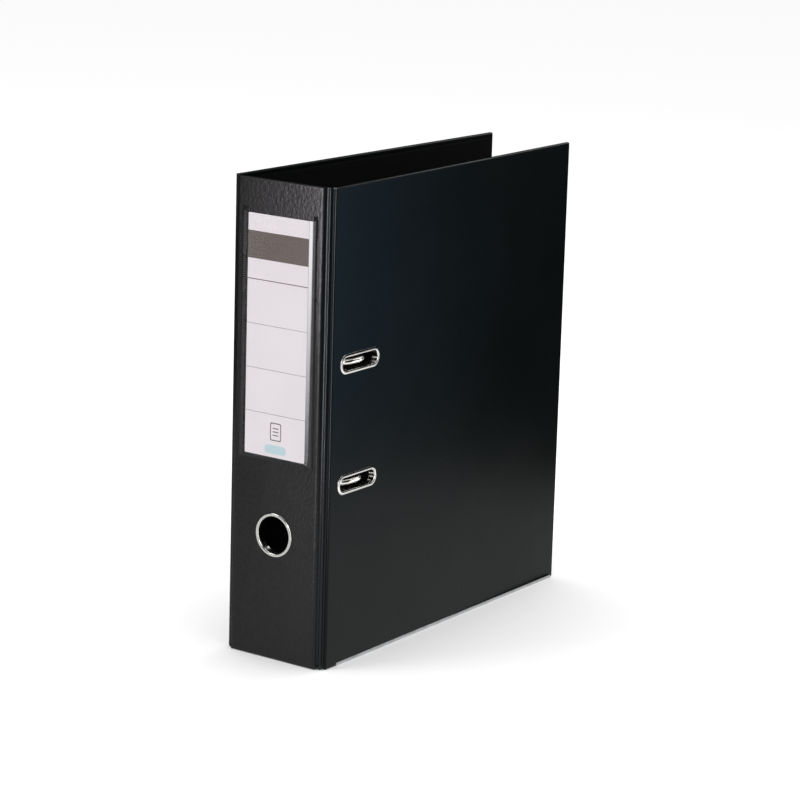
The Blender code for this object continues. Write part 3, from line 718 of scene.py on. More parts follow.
class Workpiece:
    """A mesh on the bench, shaped with Blender's own operators in a panel's (u, v, w)."""

    def __init__(self) -> None:
        """Clear the bench."""
        self.shape = bmesh.new()

    @classmethod
    def from_node(cls, panel: Panel, node: str) -> "Workpiece":
        """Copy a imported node, join its loose triangles and clear its flat faces.

        Args:
            panel: Panel that the copy is laid out in.
            node: Name of the node.

        Returns:
            The copy.
        """
        piece = cls()
        piece.shape.from_mesh(frame["nodes"][node].data)
        piece.shape.transform(panel.place.inverted())
        bmesh.ops.remove_doubles(piece.shape, verts=piece.shape.verts[:], dist=MERGE)
        bmesh.ops.dissolve_limit(
            piece.shape, angle_limit=math.radians(1), verts=piece.shape.verts[:],
            edges=piece.shape.edges[:], use_dissolve_boundaries=False, delimit={"NORMAL"})
        piece.outward()
        return piece

    def outward(self) -> None:
        """Turn every face outwards."""
        bmesh.ops.recalc_face_normals(self.shape, faces=self.shape.faces[:])

    def block(self, low: Sequence[float], high: Sequence[float]) -> list[bmesh.types.BMFace]:
        """Add a square block between two corners.

        Args:
            low: Its lowest corner.
            high: Its highest corner.

        Returns:
            Its faces.
        """
        low, high = Vector(low), Vector(high)
        size = high - low
        matrix = Matrix.Translation((low + high) / 2) @ Matrix.Diagonal((*size, 1))
        corners = bmesh.ops.create_cube(self.shape, size=1, matrix=matrix)["verts"]
        return once(face for vertex in corners for face in vertex.link_faces)

    def rounded_block(self, low: Sequence[float], high: Sequence[float], width: float,
                      segments: int) -> None:
        """Add a block whose edges are all rounded.

        Args:
            low: Its lowest corner.
            high: Its highest corner.
            width: Width of the round.
            segments: Steps of the round.
        """
        edges = once(edge for face in self.block(low, high) for edge in face.edges)
        bmesh.ops.bevel(self.shape, geom=edges, offset=width, offset_type="OFFSET",
                        affect="EDGES", segments=segments, profile=0.5, material=-1)

    def sheet(self, path: Loop, run: Vector, wall: float, outside: Vector) -> None:
        """Push an open path along a straight run and give it a wall.

        Args:
            path: Points of the sheet's outer face, across the run.
            run: Length and direction of the push.
            wall: Thickness, which goes in from the path.
            outside: Direction that the first face of the path looks in.
        """
        points = [self.shape.verts.new(point) for point in path]
        edges = [self.shape.edges.new(pair) for pair in zip(points, points[1:])]
        grown = bmesh.ops.extrude_edge_only(self.shape, edges=edges)["geom"]
        moved = only(bmesh.types.BMVert, grown)
        bmesh.ops.translate(self.shape, vec=run, verts=moved)
        faces = once(face for item in moved for face in item.link_faces)
        self.shape.normal_update()
        first = next(face for face in edges[0].link_faces)
        if first.normal.dot(outside) < 0:
            bmesh.ops.reverse_faces(self.shape, faces=faces)
        self.shape.normal_update()
        bmesh.ops.solidify(self.shape, geom=faces, thickness=wall)

    def turned(self, profile: Outline, centre: Vector, axis: Vector, ring: bool = False,
               sides: int = ROUND_SIDES) -> None:
        """Spin a profile of (radius, step along the axis) once round.

        Args:
            profile: Points of the profile, in order.
            centre: Point on the axis where the step is 0.
            axis: Direction of the axis.
            ring: Whether the profile closes on itself.
            sides: Steps of the spin.
        """
        side = axis.orthogonal().normalized()
        points = [self.shape.verts.new(centre + axis * step + side * radius)
                  for radius, step in profile]
        pairs = list(zip(points, points[1:]))
        if ring:
            pairs.append((points[-1], points[0]))
        edges = [self.shape.edges.new(pair) for pair in pairs]
        bmesh.ops.spin(self.shape, geom=points + edges, cent=centre, axis=axis, dvec=NOWHERE,
                       angle=2 * math.pi, steps=sides, use_merge=True, use_normal_flip=False,
                       use_duplicate=False)
        bmesh.ops.remove_doubles(self.shape, verts=self.shape.verts[:], dist=MERGE)
        self.outward()

    def rim(self, profile: Outline, centre: Vector, half: tuple[float, float], corner: float) -> None:
        """Run a closed profile round a slot in the (v, w) plane.

        Args:
            profile: Points of (distance out from the slot's wall, u).
            centre: Middle of the slot.
            half: Half of the slot's length along v and along w.
            corner: Radius of its corners.
        """
        arm_v, arm_w = half[0] - corner, half[1] - corner
        start = centre + V * (arm_v + corner) + W * -arm_w
        points = [self.shape.verts.new(start + V * out + U * u) for out, u in profile]
        edges = [self.shape.edges.new((points[i - 1], points[i])) for i in range(len(points))]
        steps = ((W, arm_w, (1, 1)), (-V, arm_v, (-1, 1)),
                 (-W, arm_w, (-1, -1)), (V, arm_v, (1, -1)))
        for direction, arm, (sign_v, sign_w) in steps:
            if arm > MERGE:
                grown = bmesh.ops.extrude_edge_only(self.shape, edges=edges)["geom"]
                moved = only(bmesh.types.BMVert, grown)
                bmesh.ops.translate(self.shape, vec=direction * 2 * arm, verts=moved)
                edges = only(bmesh.types.BMEdge, grown)
            hub = centre + V * (sign_v * arm_v) + W * (sign_w * arm_w)
            ends = once(vertex for edge in edges for vertex in edge.verts)
            spun = bmesh.ops.spin(self.shape, geom=ends + edges, cent=hub, axis=U, dvec=NOWHERE,
                                  angle=math.pi / 2, steps=BEND_STEPS, use_merge=False,
                                  use_normal_flip=False, use_duplicate=False)
            edges = only(bmesh.types.BMEdge, spun["geom_last"])
        bmesh.ops.remove_doubles(self.shape, verts=self.shape.verts[:], dist=MERGE)
        self.outward()

    def rod(self, corners: Loop, bends: Sequence[float], radius: float, sides: int = 24) -> None:
        """Draw a round wire along a polyline whose inner corners are bent.

        Args:
            corners: Points of the polyline.
            bends: Radius of the bend at each inner corner.
            radius: Radius of the wire.
            sides: Sides of the wire.
        """
        into = (corners[1] - corners[0]).normalized()
        turn = into.to_track_quat("Z", "Y").to_matrix().to_4x4()
        ends = bmesh.ops.create_circle(
            self.shape, cap_ends=False, radius=radius, segments=sides,
            matrix=Matrix.Translation(corners[0]) @ turn)["verts"]
        edges = once(edge for vertex in ends for edge in vertex.link_edges)
        caps = [edges]
        at = corners[0]
        for index, bend in enumerate(bends, start=1):
            out = (corners[index + 1] - corners[index]).normalized()
            angle = into.angle(out)
            target = corners[index] - into * bend * math.tan(angle / 2)
            edges = self._drawn(edges, target - at)
            side = (out - into * into.dot(out)).normalized()
            ends = once(vertex for edge in edges for vertex in edge.verts)
            spun = bmesh.ops.spin(self.shape, geom=ends + edges, cent=target + side * bend,
                                  axis=into.cross(out).normalized(), dvec=NOWHERE, angle=angle,
                                  steps=BEND_STEPS, use_merge=False, use_normal_flip=False,
                                  use_duplicate=False)
            edges = only(bmesh.types.BMEdge, spun["geom_last"])
            at = corners[index] + out * bend * math.tan(angle / 2)
            into = out
        edges = self._drawn(edges, corners[-1] - at)
        caps.append(edges)
        for ring in caps:
            bmesh.ops.contextual_create(self.shape, geom=ring)
        self.outward()

    def _drawn(self, edges: list[bmesh.types.BMEdge], run: Vector) -> list[bmesh.types.BMEdge]:
        """Draw open edges along a straight run.

        Args:
            edges: The edges.
            run: Length and direction of the draw.

        Returns:
            Their far ends.
        """
        grown = bmesh.ops.extrude_edge_only(self.shape, edges=edges)["geom"]
        moved = only(bmesh.types.BMVert, grown)
        bmesh.ops.translate(self.shape, vec=run, verts=moved)
        return only(bmesh.types.BMEdge, grown)

    def soften(self, width: float, segments: int = 2, choose: Optional[EdgeTest] = None) -> None:
        """Round the crisp edges, or those of them that are chosen.

        Args:
            width: Width of the bevel.
            segments: Steps of the round.
            choose: Says of an edge whether it is rounded.
        """
        self.shape.normal_update()
        crisp = [edge for edge in self.shape.edges if len(edge.link_faces) == 2
                 and edge.calc_face_angle() > SHARP and (choose is None or choose(edge))]
        bmesh.ops.bevel(self.shape, geom=crisp, offset=width, offset_type="OFFSET",
                        affect="EDGES", segments=segments, profile=0.5, material=-1,
                        clamp_overlap=True)

    def steady(self, band: float, least: float) -> list[bmesh.types.BMFace]:
        """Run a narrow band round each large flat face, so that it shades flat.

        Args:
            band: Width of the band.
            least: Area of the smallest face that gets one.

        Returns:
            The faces inside the bands.
        """
        large = [face for face in self.shape.faces if face.calc_area() > least]
        bmesh.ops.inset_individual(self.shape, faces=large, thickness=band, use_even_offset=True)
        return large

    def carve(self, tool: "Workpiece") -> None:
        """Take another workpiece's shape away from this one.

        Args:
            tool: The other one, which is used up.
        """
        made = []
        for shape in (self.shape, tool.shape):
            mesh = bpy.data.meshes.new("bench")
            shape.to_mesh(mesh)
            item = bpy.data.objects.new("bench", mesh)
            bpy.context.scene.collection.objects.link(item)
            made.append(item)
        cut = made[0].modifiers.new("carve", "BOOLEAN")
        cut.operation = "DIFFERENCE"
        cut.solver = "EXACT"
        cut.object = made[1]
        depsgraph = bpy.context.evaluated_depsgraph_get()
        result = bpy.data.meshes.new_from_object(made[0].evaluated_get(depsgraph))
        self.shape.clear()
        self.shape.from_mesh(result)
        tool.shape.free()
        bpy.data.meshes.remove(result)
        for item in made:
            mesh = item.data
            bpy.data.objects.remove(item)
            bpy.data.meshes.remove(mesh)

    def done(self, name: str, panel: Panel, finish: Finish) -> bpy.types.Object:
        """Take the piece off the bench and put it in its place.

        Args:
            name: Name of the piece.
            panel: Panel whose (u, v, w) it was shaped in.
            finish: Its finish.

        Returns:
            The piece, which rides on nothing yet.
        """
        self.shape.transform(panel.place)
        if panel.mirrored:
            bmesh.ops.reverse_faces(self.shape, faces=self.shape.faces[:])
        mesh = bpy.data.meshes.new(name)
        self.shape.to_mesh(mesh)
        self.shape.free()
        mesh.shade_smooth()
        mesh.set_sharp_from_angle(angle=SHARP)
        mesh.materials.append(finish.material())
        piece = bpy.data.objects.new(name, mesh)
        bpy.context.scene.collection.objects.link(piece)
        log.info("%s: %d faces, %s", name, len(mesh.polygons), finish.name)
        return piece

    def fitted(self, name: str, panel: Panel, finish: Finish, body: Body, *nodes: str) -> None:
        """Take the piece off the bench and fix it to its body.

        Args:
            name: Name of the piece.
            panel: Panel whose (u, v, w) it was shaped in.
            finish: Its finish.
            body: Body that it rides on.
            *nodes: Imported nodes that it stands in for.
        """
        shown = self.done(name, panel, finish)
        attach(shown, body.value)
        if nodes:
            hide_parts(*nodes)


def arc(centre: tuple[float, float], radius: float, start: float, end: float,
        steps: int = 8) -> list[tuple[float, float]]:
    """Points of an arc between two angles in degrees."""
    angles = [math.radians(start + (end - start) * step / steps) for step in range(steps + 1)]
    return [(centre[0] + radius * math.cos(a), centre[1] + radius * math.sin(a)) for a in angles]


def spans(axis: int, least: float = MERGE) -> EdgeTest:
    """Test for edges whose ends are apart along an axis.

    Args:
        axis: 0, 1 or 2 for u, v or w.
        least: Distance that they are more than.

    Returns:
        The test, which is given an edge.
    """
    def test(edge: bmesh.types.BMEdge) -> bool:
        """Whether the edge's ends are apart."""
        return abs(edge.verts[0].co[axis] - edge.verts[1].co[axis]) > least

    return test


def lies_at(axis: int, *levels: float, slack: float = NEAR) -> EdgeTest:
    """Test for edges whose ends both lie at one of some levels along an axis.

    Args:
        axis: 0, 1 or 2 for u, v or w.
        *levels: The levels.
        slack: How near to a level counts as at it.

    Returns:
        The test, which is given an edge.
    """
    def test(edge: bmesh.types.BMEdge) -> bool:
        """Whether both ends lie at a level."""
        return all(min(abs(vertex.co[axis] - level) for level in levels) < slack
                   for vertex in edge.verts)

    return test


# Covered boards

@dataclass
class CoveredBoard:
    """A board wrapped in foil, with the lining that covers the foil's turned-in edges."""

    name: str
    panel: Panel
    body: Body
    foil: Foil
    corner: float = 0.0011          # round of the foil along the board's edges
    shoulder: float = 0.0011        # round of the outer face's upright edges at the hinges
    turn_in: float = 0.014          # foil turned in over the board's edge
    lining_margin: float = 0.0025   # lining's edge to the panel's edge
    lining_step: float = 0.00025    # lining proud of the turned-in foil
    band: float = 0.0008            # band that keeps a large face flat in its shading
    large: float = 0.001            # area from which a face counts as large

    def build(self, holes: Sequence[Workpiece] = (), lining_holes: Sequence[Workpiece] = ()) -> None:
        """Make the foil and the lining.

        Args:
            holes: Tools that cut what is fixed through the foil.
            lining_holes: The same tools again, for the lining.
        """
        self.build_foil(holes)
        self.build_lining(lining_holes)

    def build_foil(self, holes: Sequence[Workpiece]) -> None:
        """Foil round the board: outer face, edges and the turned-in margin.

        Args:
            holes: Tools that cut through it.
        """
        node = self.name + "_outer_foil"
        low, high = self.panel.extent(node)
        top = self.panel.extent(self.name + "_lining")[1].x - self.lining_step
        piece = Workpiece()
        piece.block(low, (top, high.y, high.z))
        upright, outside = spans(2), lies_at(0, low.x, slack=MERGE)
        piece.soften(self.shoulder, 8, lambda edge: upright(edge) and outside(edge))
        piece.soften(self.corner, 4)
        large = piece.steady(self.band, self.large)
        inside = max(large, key=lambda face: face.calc_center_median().x)
        bmesh.ops.inset_individual(piece.shape, faces=[inside], thickness=self.turn_in,
                                   use_even_offset=True)
        bmesh.ops.translate(piece.shape, vec=U * -self.lining_step, verts=inside.verts[:])
        for hole in holes:
            piece.carve(hole)
        piece.fitted(self.name + "_cover_foil", self.panel, self.foil, self.body, node)

    def build_lining(self, holes: Sequence[Workpiece]) -> None:
        """Lining sheet over the turned-in foil.

        Args:
            holes: Tools that cut through it.
        """
        node = self.name + "_lining"
        low, high = self.panel.extent(node)
        margin = self.lining_margin
        bottom = max(low.z, margin)
        piece = Workpiece()
        piece.block((low.x, low.y + margin, bottom), (high.x, high.y - margin, high.z - margin))
        piece.soften(CUT_EDGE)
        piece.steady(self.band, self.large)
        for hole in holes:
            piece.carve(hole)
        piece.fitted(self.name + "_paper_lining", self.panel, LINING_PAPER, self.body, node)


@dataclass
class EdgeStrip:
    """Metal channel pressed over a cover's lower edge."""

    name: str
    panel: Panel
    body: Body
    proud: float = 0.0001           # outer leg's rise over the foil
    leg: float = 0.00045            # thickness that counts as the outer leg
    fold: float = 0.00035           # round of the folds along the bottom
    cut: float = 0.0001             # round of the cut edges

    def build(self) -> None:
        """Round the strip's folds and cut edges, and let its outer leg stand proud."""
        low, _ = self.panel.extent(self.name)
        piece = Workpiece.from_node(self.panel, self.name)
        folded = lies_at(2, low.z)
        piece.soften(self.fold, 4, folded)
        piece.soften(self.cut, 2, lambda edge: not folded(edge))
        for vertex in piece.shape.verts:
            if vertex.co.x < low.x + self.leg:
                vertex.co.x -= self.proud
        piece.fitted(self.name + "_channel", self.panel, EDGE_STEEL, self.body, self.name)


@dataclass
class HingeFoil:
    """Foil that bridges the corner between the spine and a cover, with its two pressed creases."""

    name: str
    side: Side
    cover: Body
    sunk: float = 0.00055           # foil's ends below the corner's chamfer
    groove: float = 0.00095         # depth of the creases
    crest: float = 0.0005           # rise of the band between them
    crest_width: float = 0.11       # of the foil's width
    overrun: float = 0.06           # of the foil's width, under each neighbour
    wall: float = 0.0005
    cut: float = 0.0001             # round of the lower and upper edge
    steps: int = 36
    reach: float = 0.0022           # turning zone from the hinge's axis towards the spine
    cover_share: float = 0.4        # and towards the cover, as a share of it
    lean: float = 0.4               # lean of the turning zone into the file

    def depth(self, share: float) -> float:
        """Depth of the foil below the corner's chamfer.

        Args:
            share: Place across the foil, from 0 at the spine to 1 at the cover.

        Returns:
            The depth there.
        """
        crease = math.sin(2 * math.pi * share) ** 2
        band = math.exp(-((share - 0.5) / self.crest_width) ** 2)
        return self.sunk + self.groove * crease - self.crest * band

    def build(self, spine: Panel) -> None:
        """Draw the creased foil from the lower to the upper edge.

        Args:
            spine: The spine's panel, which the foil is laid out in.
        """
        sign = self.side.value
        node = ("front" if self.side is Side.FRONT else "back") + "_hinge_strip"
        low, high = spine.extent(node)
        edge = spine.extent("spine_outer_foil")[1].y
        joint = "front_cover_hinge" if self.side is Side.FRONT else "spine_hinge"
        axis = spine.place.inverted() @ hinge_point(joint)
        start = Vector((0, sign * edge, 0))
        across = (axis - start).normalized()
        length = (axis - start).length
        outside = Vector((-abs(across.y), sign * across.x, 0))
        path = []
        for step in range(self.steps + 1):
            share = -self.overrun + (1 + 2 * self.overrun) * step / self.steps
            point = start + across * length * share - outside * self.depth(min(max(share, 0), 1))
            path.append(Vector((point.x, point.y, low.z)))
        piece = Workpiece()
        piece.sheet(path, W * (high.z - low.z), self.wall, outside)
        upright = spans(2)
        piece.soften(self.cut, 2, lambda edge: not upright(edge))
        shown = piece.done(self.name, spine, HINGE_FOIL)
        point = spine.place @ axis
        if self.side is Side.FRONT:
            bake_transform(shown)
        else:
            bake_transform(shown)
        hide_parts(node)


# What is fixed in the spine

@dataclass
class FingerRing:
    """Rolled nickel ring in the spine, and the washer it is clenched over."""

    panel: Panel
    flange: float = 0.00225         # outer edge to the hole's wall
    wall: float = 0.0006
    lip: float = 0.0007             # round of the hole's mouth
    brow: float = 0.0006            # round of the outer edge
    seat: float = 0.00005           # flange's foot over the foil
    cleared: float = 0.00125        # outer edge to the hole cut in the spine
    sides: int = 96

    def build(self) -> None:
        """Spin the ring and its washer."""
        low, high = self.panel.extent("finger_ring")
        centre = self.panel.centre("finger_ring")
        outer = (high.y - low.y) / 2
        bore = outer - self.flange
        lip, brow, tube = self.lip, self.brow, bore + self.wall
        profile = [(bore, high.x), (bore, low.x + lip)]
        profile += arc((bore + lip, low.x + lip), lip, 180, 270, 6)
        profile += arc((outer - brow, low.x + brow), brow, 270, 360, 6)
        profile += [(outer, -self.seat), (tube, -self.seat), (tube, high.x)]
        ring = Workpiece()
        ring.turned(profile, centre, U, ring=True, sides=self.sides)
        ring.fitted("rolled_finger_ring", self.panel, NICKEL, Body.SPINE, "finger_ring")
        self.build_washer(centre, tube + GAP)

    def build_washer(self, centre: Vector, inner: float) -> None:
        """Spin the washer with its two round edges.

        Args:
            centre: Middle of the ring.
            inner: Radius of its hole.
        """
        low, high = self.panel.extent("finger_ring_washer")
        outer = (high.y - low.y) / 2
        brow, lip = 0.0003, 0.0002
        profile = [(inner, low.x), (outer, low.x)]
        profile += arc((outer - brow, high.x - brow), brow, 0, 90, 4)
        profile += arc((inner + lip, high.x - lip), lip, 90, 180, 3)
        washer = Workpiece()
        washer.turned(profile, centre, U, ring=True, sides=self.sides)
        washer.fitted("clenched_ring_washer", self.panel, NICKEL, Body.SPINE, "finger_ring_washer")

    def hole(self) -> Workpiece:
        """Make the tool that cuts the ring's hole through the spine.

        Returns:
            The tool.
        """
        low, high = self.panel.extent("finger_ring")
        radius = (high.y - low.y) / 2 - self.cleared
        start, end = TOOL_REACH
        tool = Workpiece()
        tool.turned([(0, start), (radius, start), (radius, end), (0, end)],
                    self.panel.centre("finger_ring"), U, sides=self.sides)
        return tool


@dataclass(frozen=True)
class CardPrint:
    """What is printed on the card. Each height is measured down from the card's upper edge."""

    half: float                     # half of the card's width
    top: float                      # height of the card's upper edge
    bleed: float = 0.001            # bands and lines run on past the card's edges
    band_down: float = 0.0204
    band_half: float = 0.0090
    line_down: float = 0.0428
    line_half: float = 0.0003
    rules: int = 3
    rule_down: float = 0.0720
    rule_step: float = 0.0290
    rule_half: float = 0.00022
    page_down: float = 0.1413
    page_half: tuple[float, float] = (0.0045, 0.0060)
    page_corner: float = 0.0012
    page_line: float = 0.0007       # width of the page's outline
    text_down: float = 0.1390
    text_step: float = 0.0023
    text_half: tuple[float, float] = (0.0024, 0.00035)
    pill_down: float = 0.1532
    pill_half: tuple[float, float] = (0.0088, 0.0029)
    pill_corner: float = 0.0026
    brown: Tone = colour(0.118, 0.094, 0.088)
    grey: Tone = colour(0.30, 0.28, 0.285)
    blank: Tone = colour(0.638, 0.594, 0.620)
    blue: Tone = colour(0.41, 0.53, 0.57)

    def across(self, down: float, half: float, corner: float, tone: Tone) -> Ink:
        """A band or line that runs across the whole card."""
        return Ink((0, self.top - down), (self.half + self.bleed, half), corner, tone)

    def page(self) -> tuple[Ink, ...]:
        """A plain page with three lines of writing on it.

        Returns:
            Its inks, from the lowest up.
        """
        wide, tall = self.page_half
        middle = (0, self.top - self.page_down)
        inner = (wide - self.page_line, tall - self.page_line)
        inks = [Ink(middle, self.page_half, self.page_corner, self.brown),
                Ink(middle, inner, self.page_corner - 0.0003, self.blank)]
        for number in range(3):
            place = (0, self.top - self.text_down - self.text_step * number)
            inks.append(Ink(place, self.text_half, 0.0003, self.brown))
        return tuple(inks)

    def inks(self) -> tuple[Ink, ...]:
        """The header band, the ruled lines and two plain marks.

        Returns:
            All the inks, from the lowest up.
        """
        inks = [self.across(self.band_down, self.band_half, 0.0005, self.brown),
                self.across(self.line_down, self.line_half, self.line_half, self.brown)]
        for number in range(self.rules):
            down = self.rule_down + self.rule_step * number
            inks.append(self.across(down, self.rule_half, self.rule_half, self.grey))
        inks += self.page()
        inks.append(Ink((0, self.top - self.pill_down), self.pill_half, self.pill_corner, self.blue))
        return tuple(inks)


@dataclass
class LabelPocket:
    """Clear pocket welded to the spine, with its ribbed welds, and the card in it."""

    panel: Panel
    weld: float = 0.0042            # width of the welded border
    weld_top: float = 0.00030       # border's face over the foil
    weld_foot: float = 0.00012      # border's back over the foil
    film: float = 0.00015           # thickness of the film
    film_foot: float = 0.0002       # film's edge over the foil
    film_tuck: float = 0.0008       # film's edge under the welds
    slack: float = 0.0002           # gap round the card
    card_half: float = 0.0246       # half of the card's width
    card_shift: float = -0.0007     # card pushed to the left in its pocket
    card_corner: float = 0.0006
    rib_pitch: float = 0.0014
    rib_length: float = 0.0024
    rib_rise: float = 0.00018
    rib_tip: float = 0.0003         # ribs' inner ends past the weld
    foil_shown: float = 0.0008      # foil left bare beside the welds

    def build(self) -> None:
        """Make the card, the film over it, the welds round it and the ribs pressed in them."""
        self.build_card()
        self.build_film()
        self.build_welds()
        self.build_ribs()

    def build_card(self) -> None:
        """Card with its print."""
        low, high = self.panel.extent("label_card")
        printed = CardPrint((high.y - low.y) / 2, high.z)
        low.y, high.y = self.card_shift - self.card_half, self.card_shift + self.card_half
        piece = Workpiece()
        piece.block(low, high)
        piece.soften(self.card_corner, 3, spans(0))
        finish = PrintedCard("label_card", "printed_label_card", printed.inks())
        piece.fitted("printed_card", self.panel, finish, Body.SPINE, "label_card")

    def build_film(self) -> None:
        """Film that lies on the card and runs down to the welds beside it."""
        low, high = self.panel.extent("label_pocket")
        card_low, card_high = self.panel.extent("label_card")
        face, foot = low.x, -self.film_foot
        inner = high.y - self.weld
        left = self.card_shift - self.card_half - self.slack
        right = self.card_shift + self.card_half + self.slack
        outline = [(foot, -inner - self.film_tuck), (foot, -inner), (face, left), (face, left * 0.4),
                   (face, right * 0.4), (face, right), (foot, inner), (foot, inner + self.film_tuck)]
        bottom = low.z + self.weld * 0.5
        piece = Workpiece()
        piece.sheet([Vector((u, v, bottom)) for u, v in outline],
                    W * (card_high.z - bottom + self.slack), self.film, -U)
        piece.soften(0.0005, 3, spans(2, 0.01))
        film = ClearFilm("pocket_film", "clear_pocket_film", right - 0.0002, right + 0.0006,
                         card_low.z - 0.012, card_high.z - 0.008)
        piece.fitted("clear_film_pocket", self.panel, film, Body.SPINE, "label_pocket")

    def build_welds(self) -> None:
        """Flat welded border down both sides and along the bottom."""
        low, high = self.panel.extent("label_pocket")
        left, right = low.y + self.foil_shown, high.y - self.foil_shown
        left_in, right_in, up = low.y + self.weld, high.y - self.weld, low.z + self.weld
        bars = [((left, low.z), (left_in, high.z)), ((right_in, low.z), (right, high.z)),
                ((left_in, low.z), (right_in, up))]
        piece = Workpiece()
        for near, far in bars:
            piece.block((-self.weld_top, *near), (-self.weld_foot, *far))
        piece.soften(0.00008, 1)
        piece.fitted("ribbed_pocket_weld", self.panel, WELDED_BORDER, Body.SPINE)

    def build_ribs(self) -> None:
        """Short ribs pressed across both upright welds, coloured lighter than them as a painted sheen."""
        low, high = self.panel.extent("label_pocket")
        tip = self.weld + self.rib_tip
        count = int((high.z - low.z - 2 * self.rib_pitch) / self.rib_pitch)
        piece = Workpiece()
        for edge, sign in ((low.y, 1), (high.y, -1)):
            near, far = sorted((edge + sign * (tip - self.rib_length), edge + sign * tip))
            for number in range(count):
                height = low.z + self.rib_pitch * (number + 1)
                piece.block((-self.weld_top - self.rib_rise, near, height),
                            (-self.weld_top + 0.00005, far, height + self.rib_pitch * 0.5))
        piece.fitted("pressed_pocket_ribs", self.panel, PAINTED_SHEEN_RIBS, Body.SPINE)


# What is fixed in the front cover

@dataclass
class SlotRim:
    """Rolled nickel rim in one of the front cover's slots, and the ring it is clenched over."""

    name: str
    panel: Panel
    corner: float = 0.0041          # round of the slot's corners
    flange: float = 0.0022          # width of the rim over the foil
    wall: float = 0.0006
    roll: float = 0.0008            # round of the slot's mouth
    fall: float = 0.0014            # round of the flange down to the foil
    seat: float = 0.00002           # flange's foot over the foil
    ring_cut: float = 0.0002        # chamfer of the ring behind
    cleared: float = 0.0001         # gap round the rim's wall in the cover

    def slot(self) -> tuple[Vector, tuple[float, float]]:
        """Find the slot.

        Returns:
            Its middle on the outer face, and half of its length and width.
        """
        low, high = self.panel.extent("slot_rim_" + self.name)
        half = ((high.y - low.y) / 2 - self.flange, (high.z - low.z) / 2 - self.flange)
        return self.panel.centre("slot_rim_" + self.name), half

    def build(self) -> None:
        """Run the rim's and the ring's profiles round the slot."""
        centre, half = self.slot()
        node = "slot_rim_" + self.name
        low, high = self.panel.extent(node)
        roll, fall = self.roll, self.fall
        profile = [(0, high.x), (0, low.x + roll)]
        profile += arc((roll, low.x + roll), roll, 180, 270, 6)
        profile += [(self.flange - fall + fall * math.sin(a), low.x * math.cos(a))
                    for a in [math.radians(15 * step) for step in range(1, 6)]]
        profile += [(self.flange, -self.seat), (self.wall, -self.seat), (self.wall, high.x)]
        rim = Workpiece()
        rim.rim(profile, centre, half, self.corner)
        rim.fitted("rolled_" + node, self.panel, NICKEL, Body.FRONT, node)

        node = "slot_backing_" + self.name
        low, high = self.panel.extent(node)
        width = (high.y - low.y) / 2 - half[0]
        inner, cut = self.wall + GAP, self.ring_cut
        profile = [(inner, low.x), (width, low.x), (width, high.x - cut),
                   (width - cut, high.x), (inner, high.x)]
        ring = Workpiece()
        ring.rim(profile, centre, half, self.corner)
        ring.fitted("clenched_slot_ring_" + self.name, self.panel, NICKEL, Body.FRONT, node)

    def hole(self) -> Workpiece:
        """Make the tool that cuts the slot through the cover.

        Returns:
            The tool.
        """
        centre, half = self.slot()
        out = self.wall + self.cleared
        start, end = TOOL_REACH
        tool = Workpiece()
        tool.block((start, centre.y - half[0] - out, centre.z - half[1] - out),
                   (end, centre.y + half[0] + out, centre.z + half[1] + out))
        tool.soften(self.corner + self.wall, BEND_STEPS, spans(0))
        return tool


# The mechanism on the back cover

@dataclass
class BasePlate:
    """Pressed steel plate with its stiffening beads, and the rivets that hold it."""

    panel: Panel
    edge: float = 0.0003            # round of the plate's upper edges
    bead_height: float = 0.0009
    bead_half: float = 0.0022
    bead_half_length: float = 0.026
    bead_from_edge: float = 0.0045  # far bead's middle to the plate's edge
    dome: float = 0.0007            # height of the rivets' outer domes
    head: float = 0.0004            # rivets' outer heads in the foil
    shank: float = 0.002
    rivets: int = 4

    def build(self) -> None:
        """Make the plate and its rivets."""
        low, high = self.panel.extent("base_plate")
        piece = Workpiece.from_node(self.panel, "base_plate")
        piece.soften(self.edge, 3, lies_at(0, high.x))
        post = self.panel.middle("post_upper").y
        pivot = self.panel.middle("lever_pin").y
        middle = (low.z + high.z) / 2
        for v in ((post + pivot) / 2, high.y - self.bead_from_edge):
            near = (high.x - self.edge, v - self.bead_half, middle - self.bead_half_length)
            far = (high.x + self.bead_height, v + self.bead_half, middle + self.bead_half_length)
            piece.rounded_block(near, far, self.bead_height * 0.95, 4)
        piece.fitted("pressed_base_plate", self.panel, NICKEL, Body.BACK, "base_plate")
        for number in range(1, self.rivets + 1):
            self.build_rivet("rivet_%d" % number)

    def build_rivet(self, node: str) -> None:
        """One rivet with a low dome outside and a clenched dome on the plate.

        Args:
            node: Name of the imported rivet.
        """
        low, high = self.panel.extent(node)
        radius = (high.y - low.y) / 2
        seat = self.panel.extent("base_plate")[1].x + GAP
        rise = high.x - seat
        quarter = [math.radians(11.25 * step) for step in range(9)]
        profile = [(radius * math.cos(a), low.x - self.dome * math.sin(a)) for a in reversed(quarter)]
        profile += [(radius, self.head), (self.shank, self.head), (self.shank, seat), (radius, seat)]
        profile += [(radius * math.cos(a), seat + rise * math.sin(a)) for a in quarter[1:]]
        piece = Workpiece()
        piece.turned(profile, self.panel.centre(node), U, sides=40)
        piece.fitted("domed_" + node, self.panel, NICKEL, Body.BACK, node)


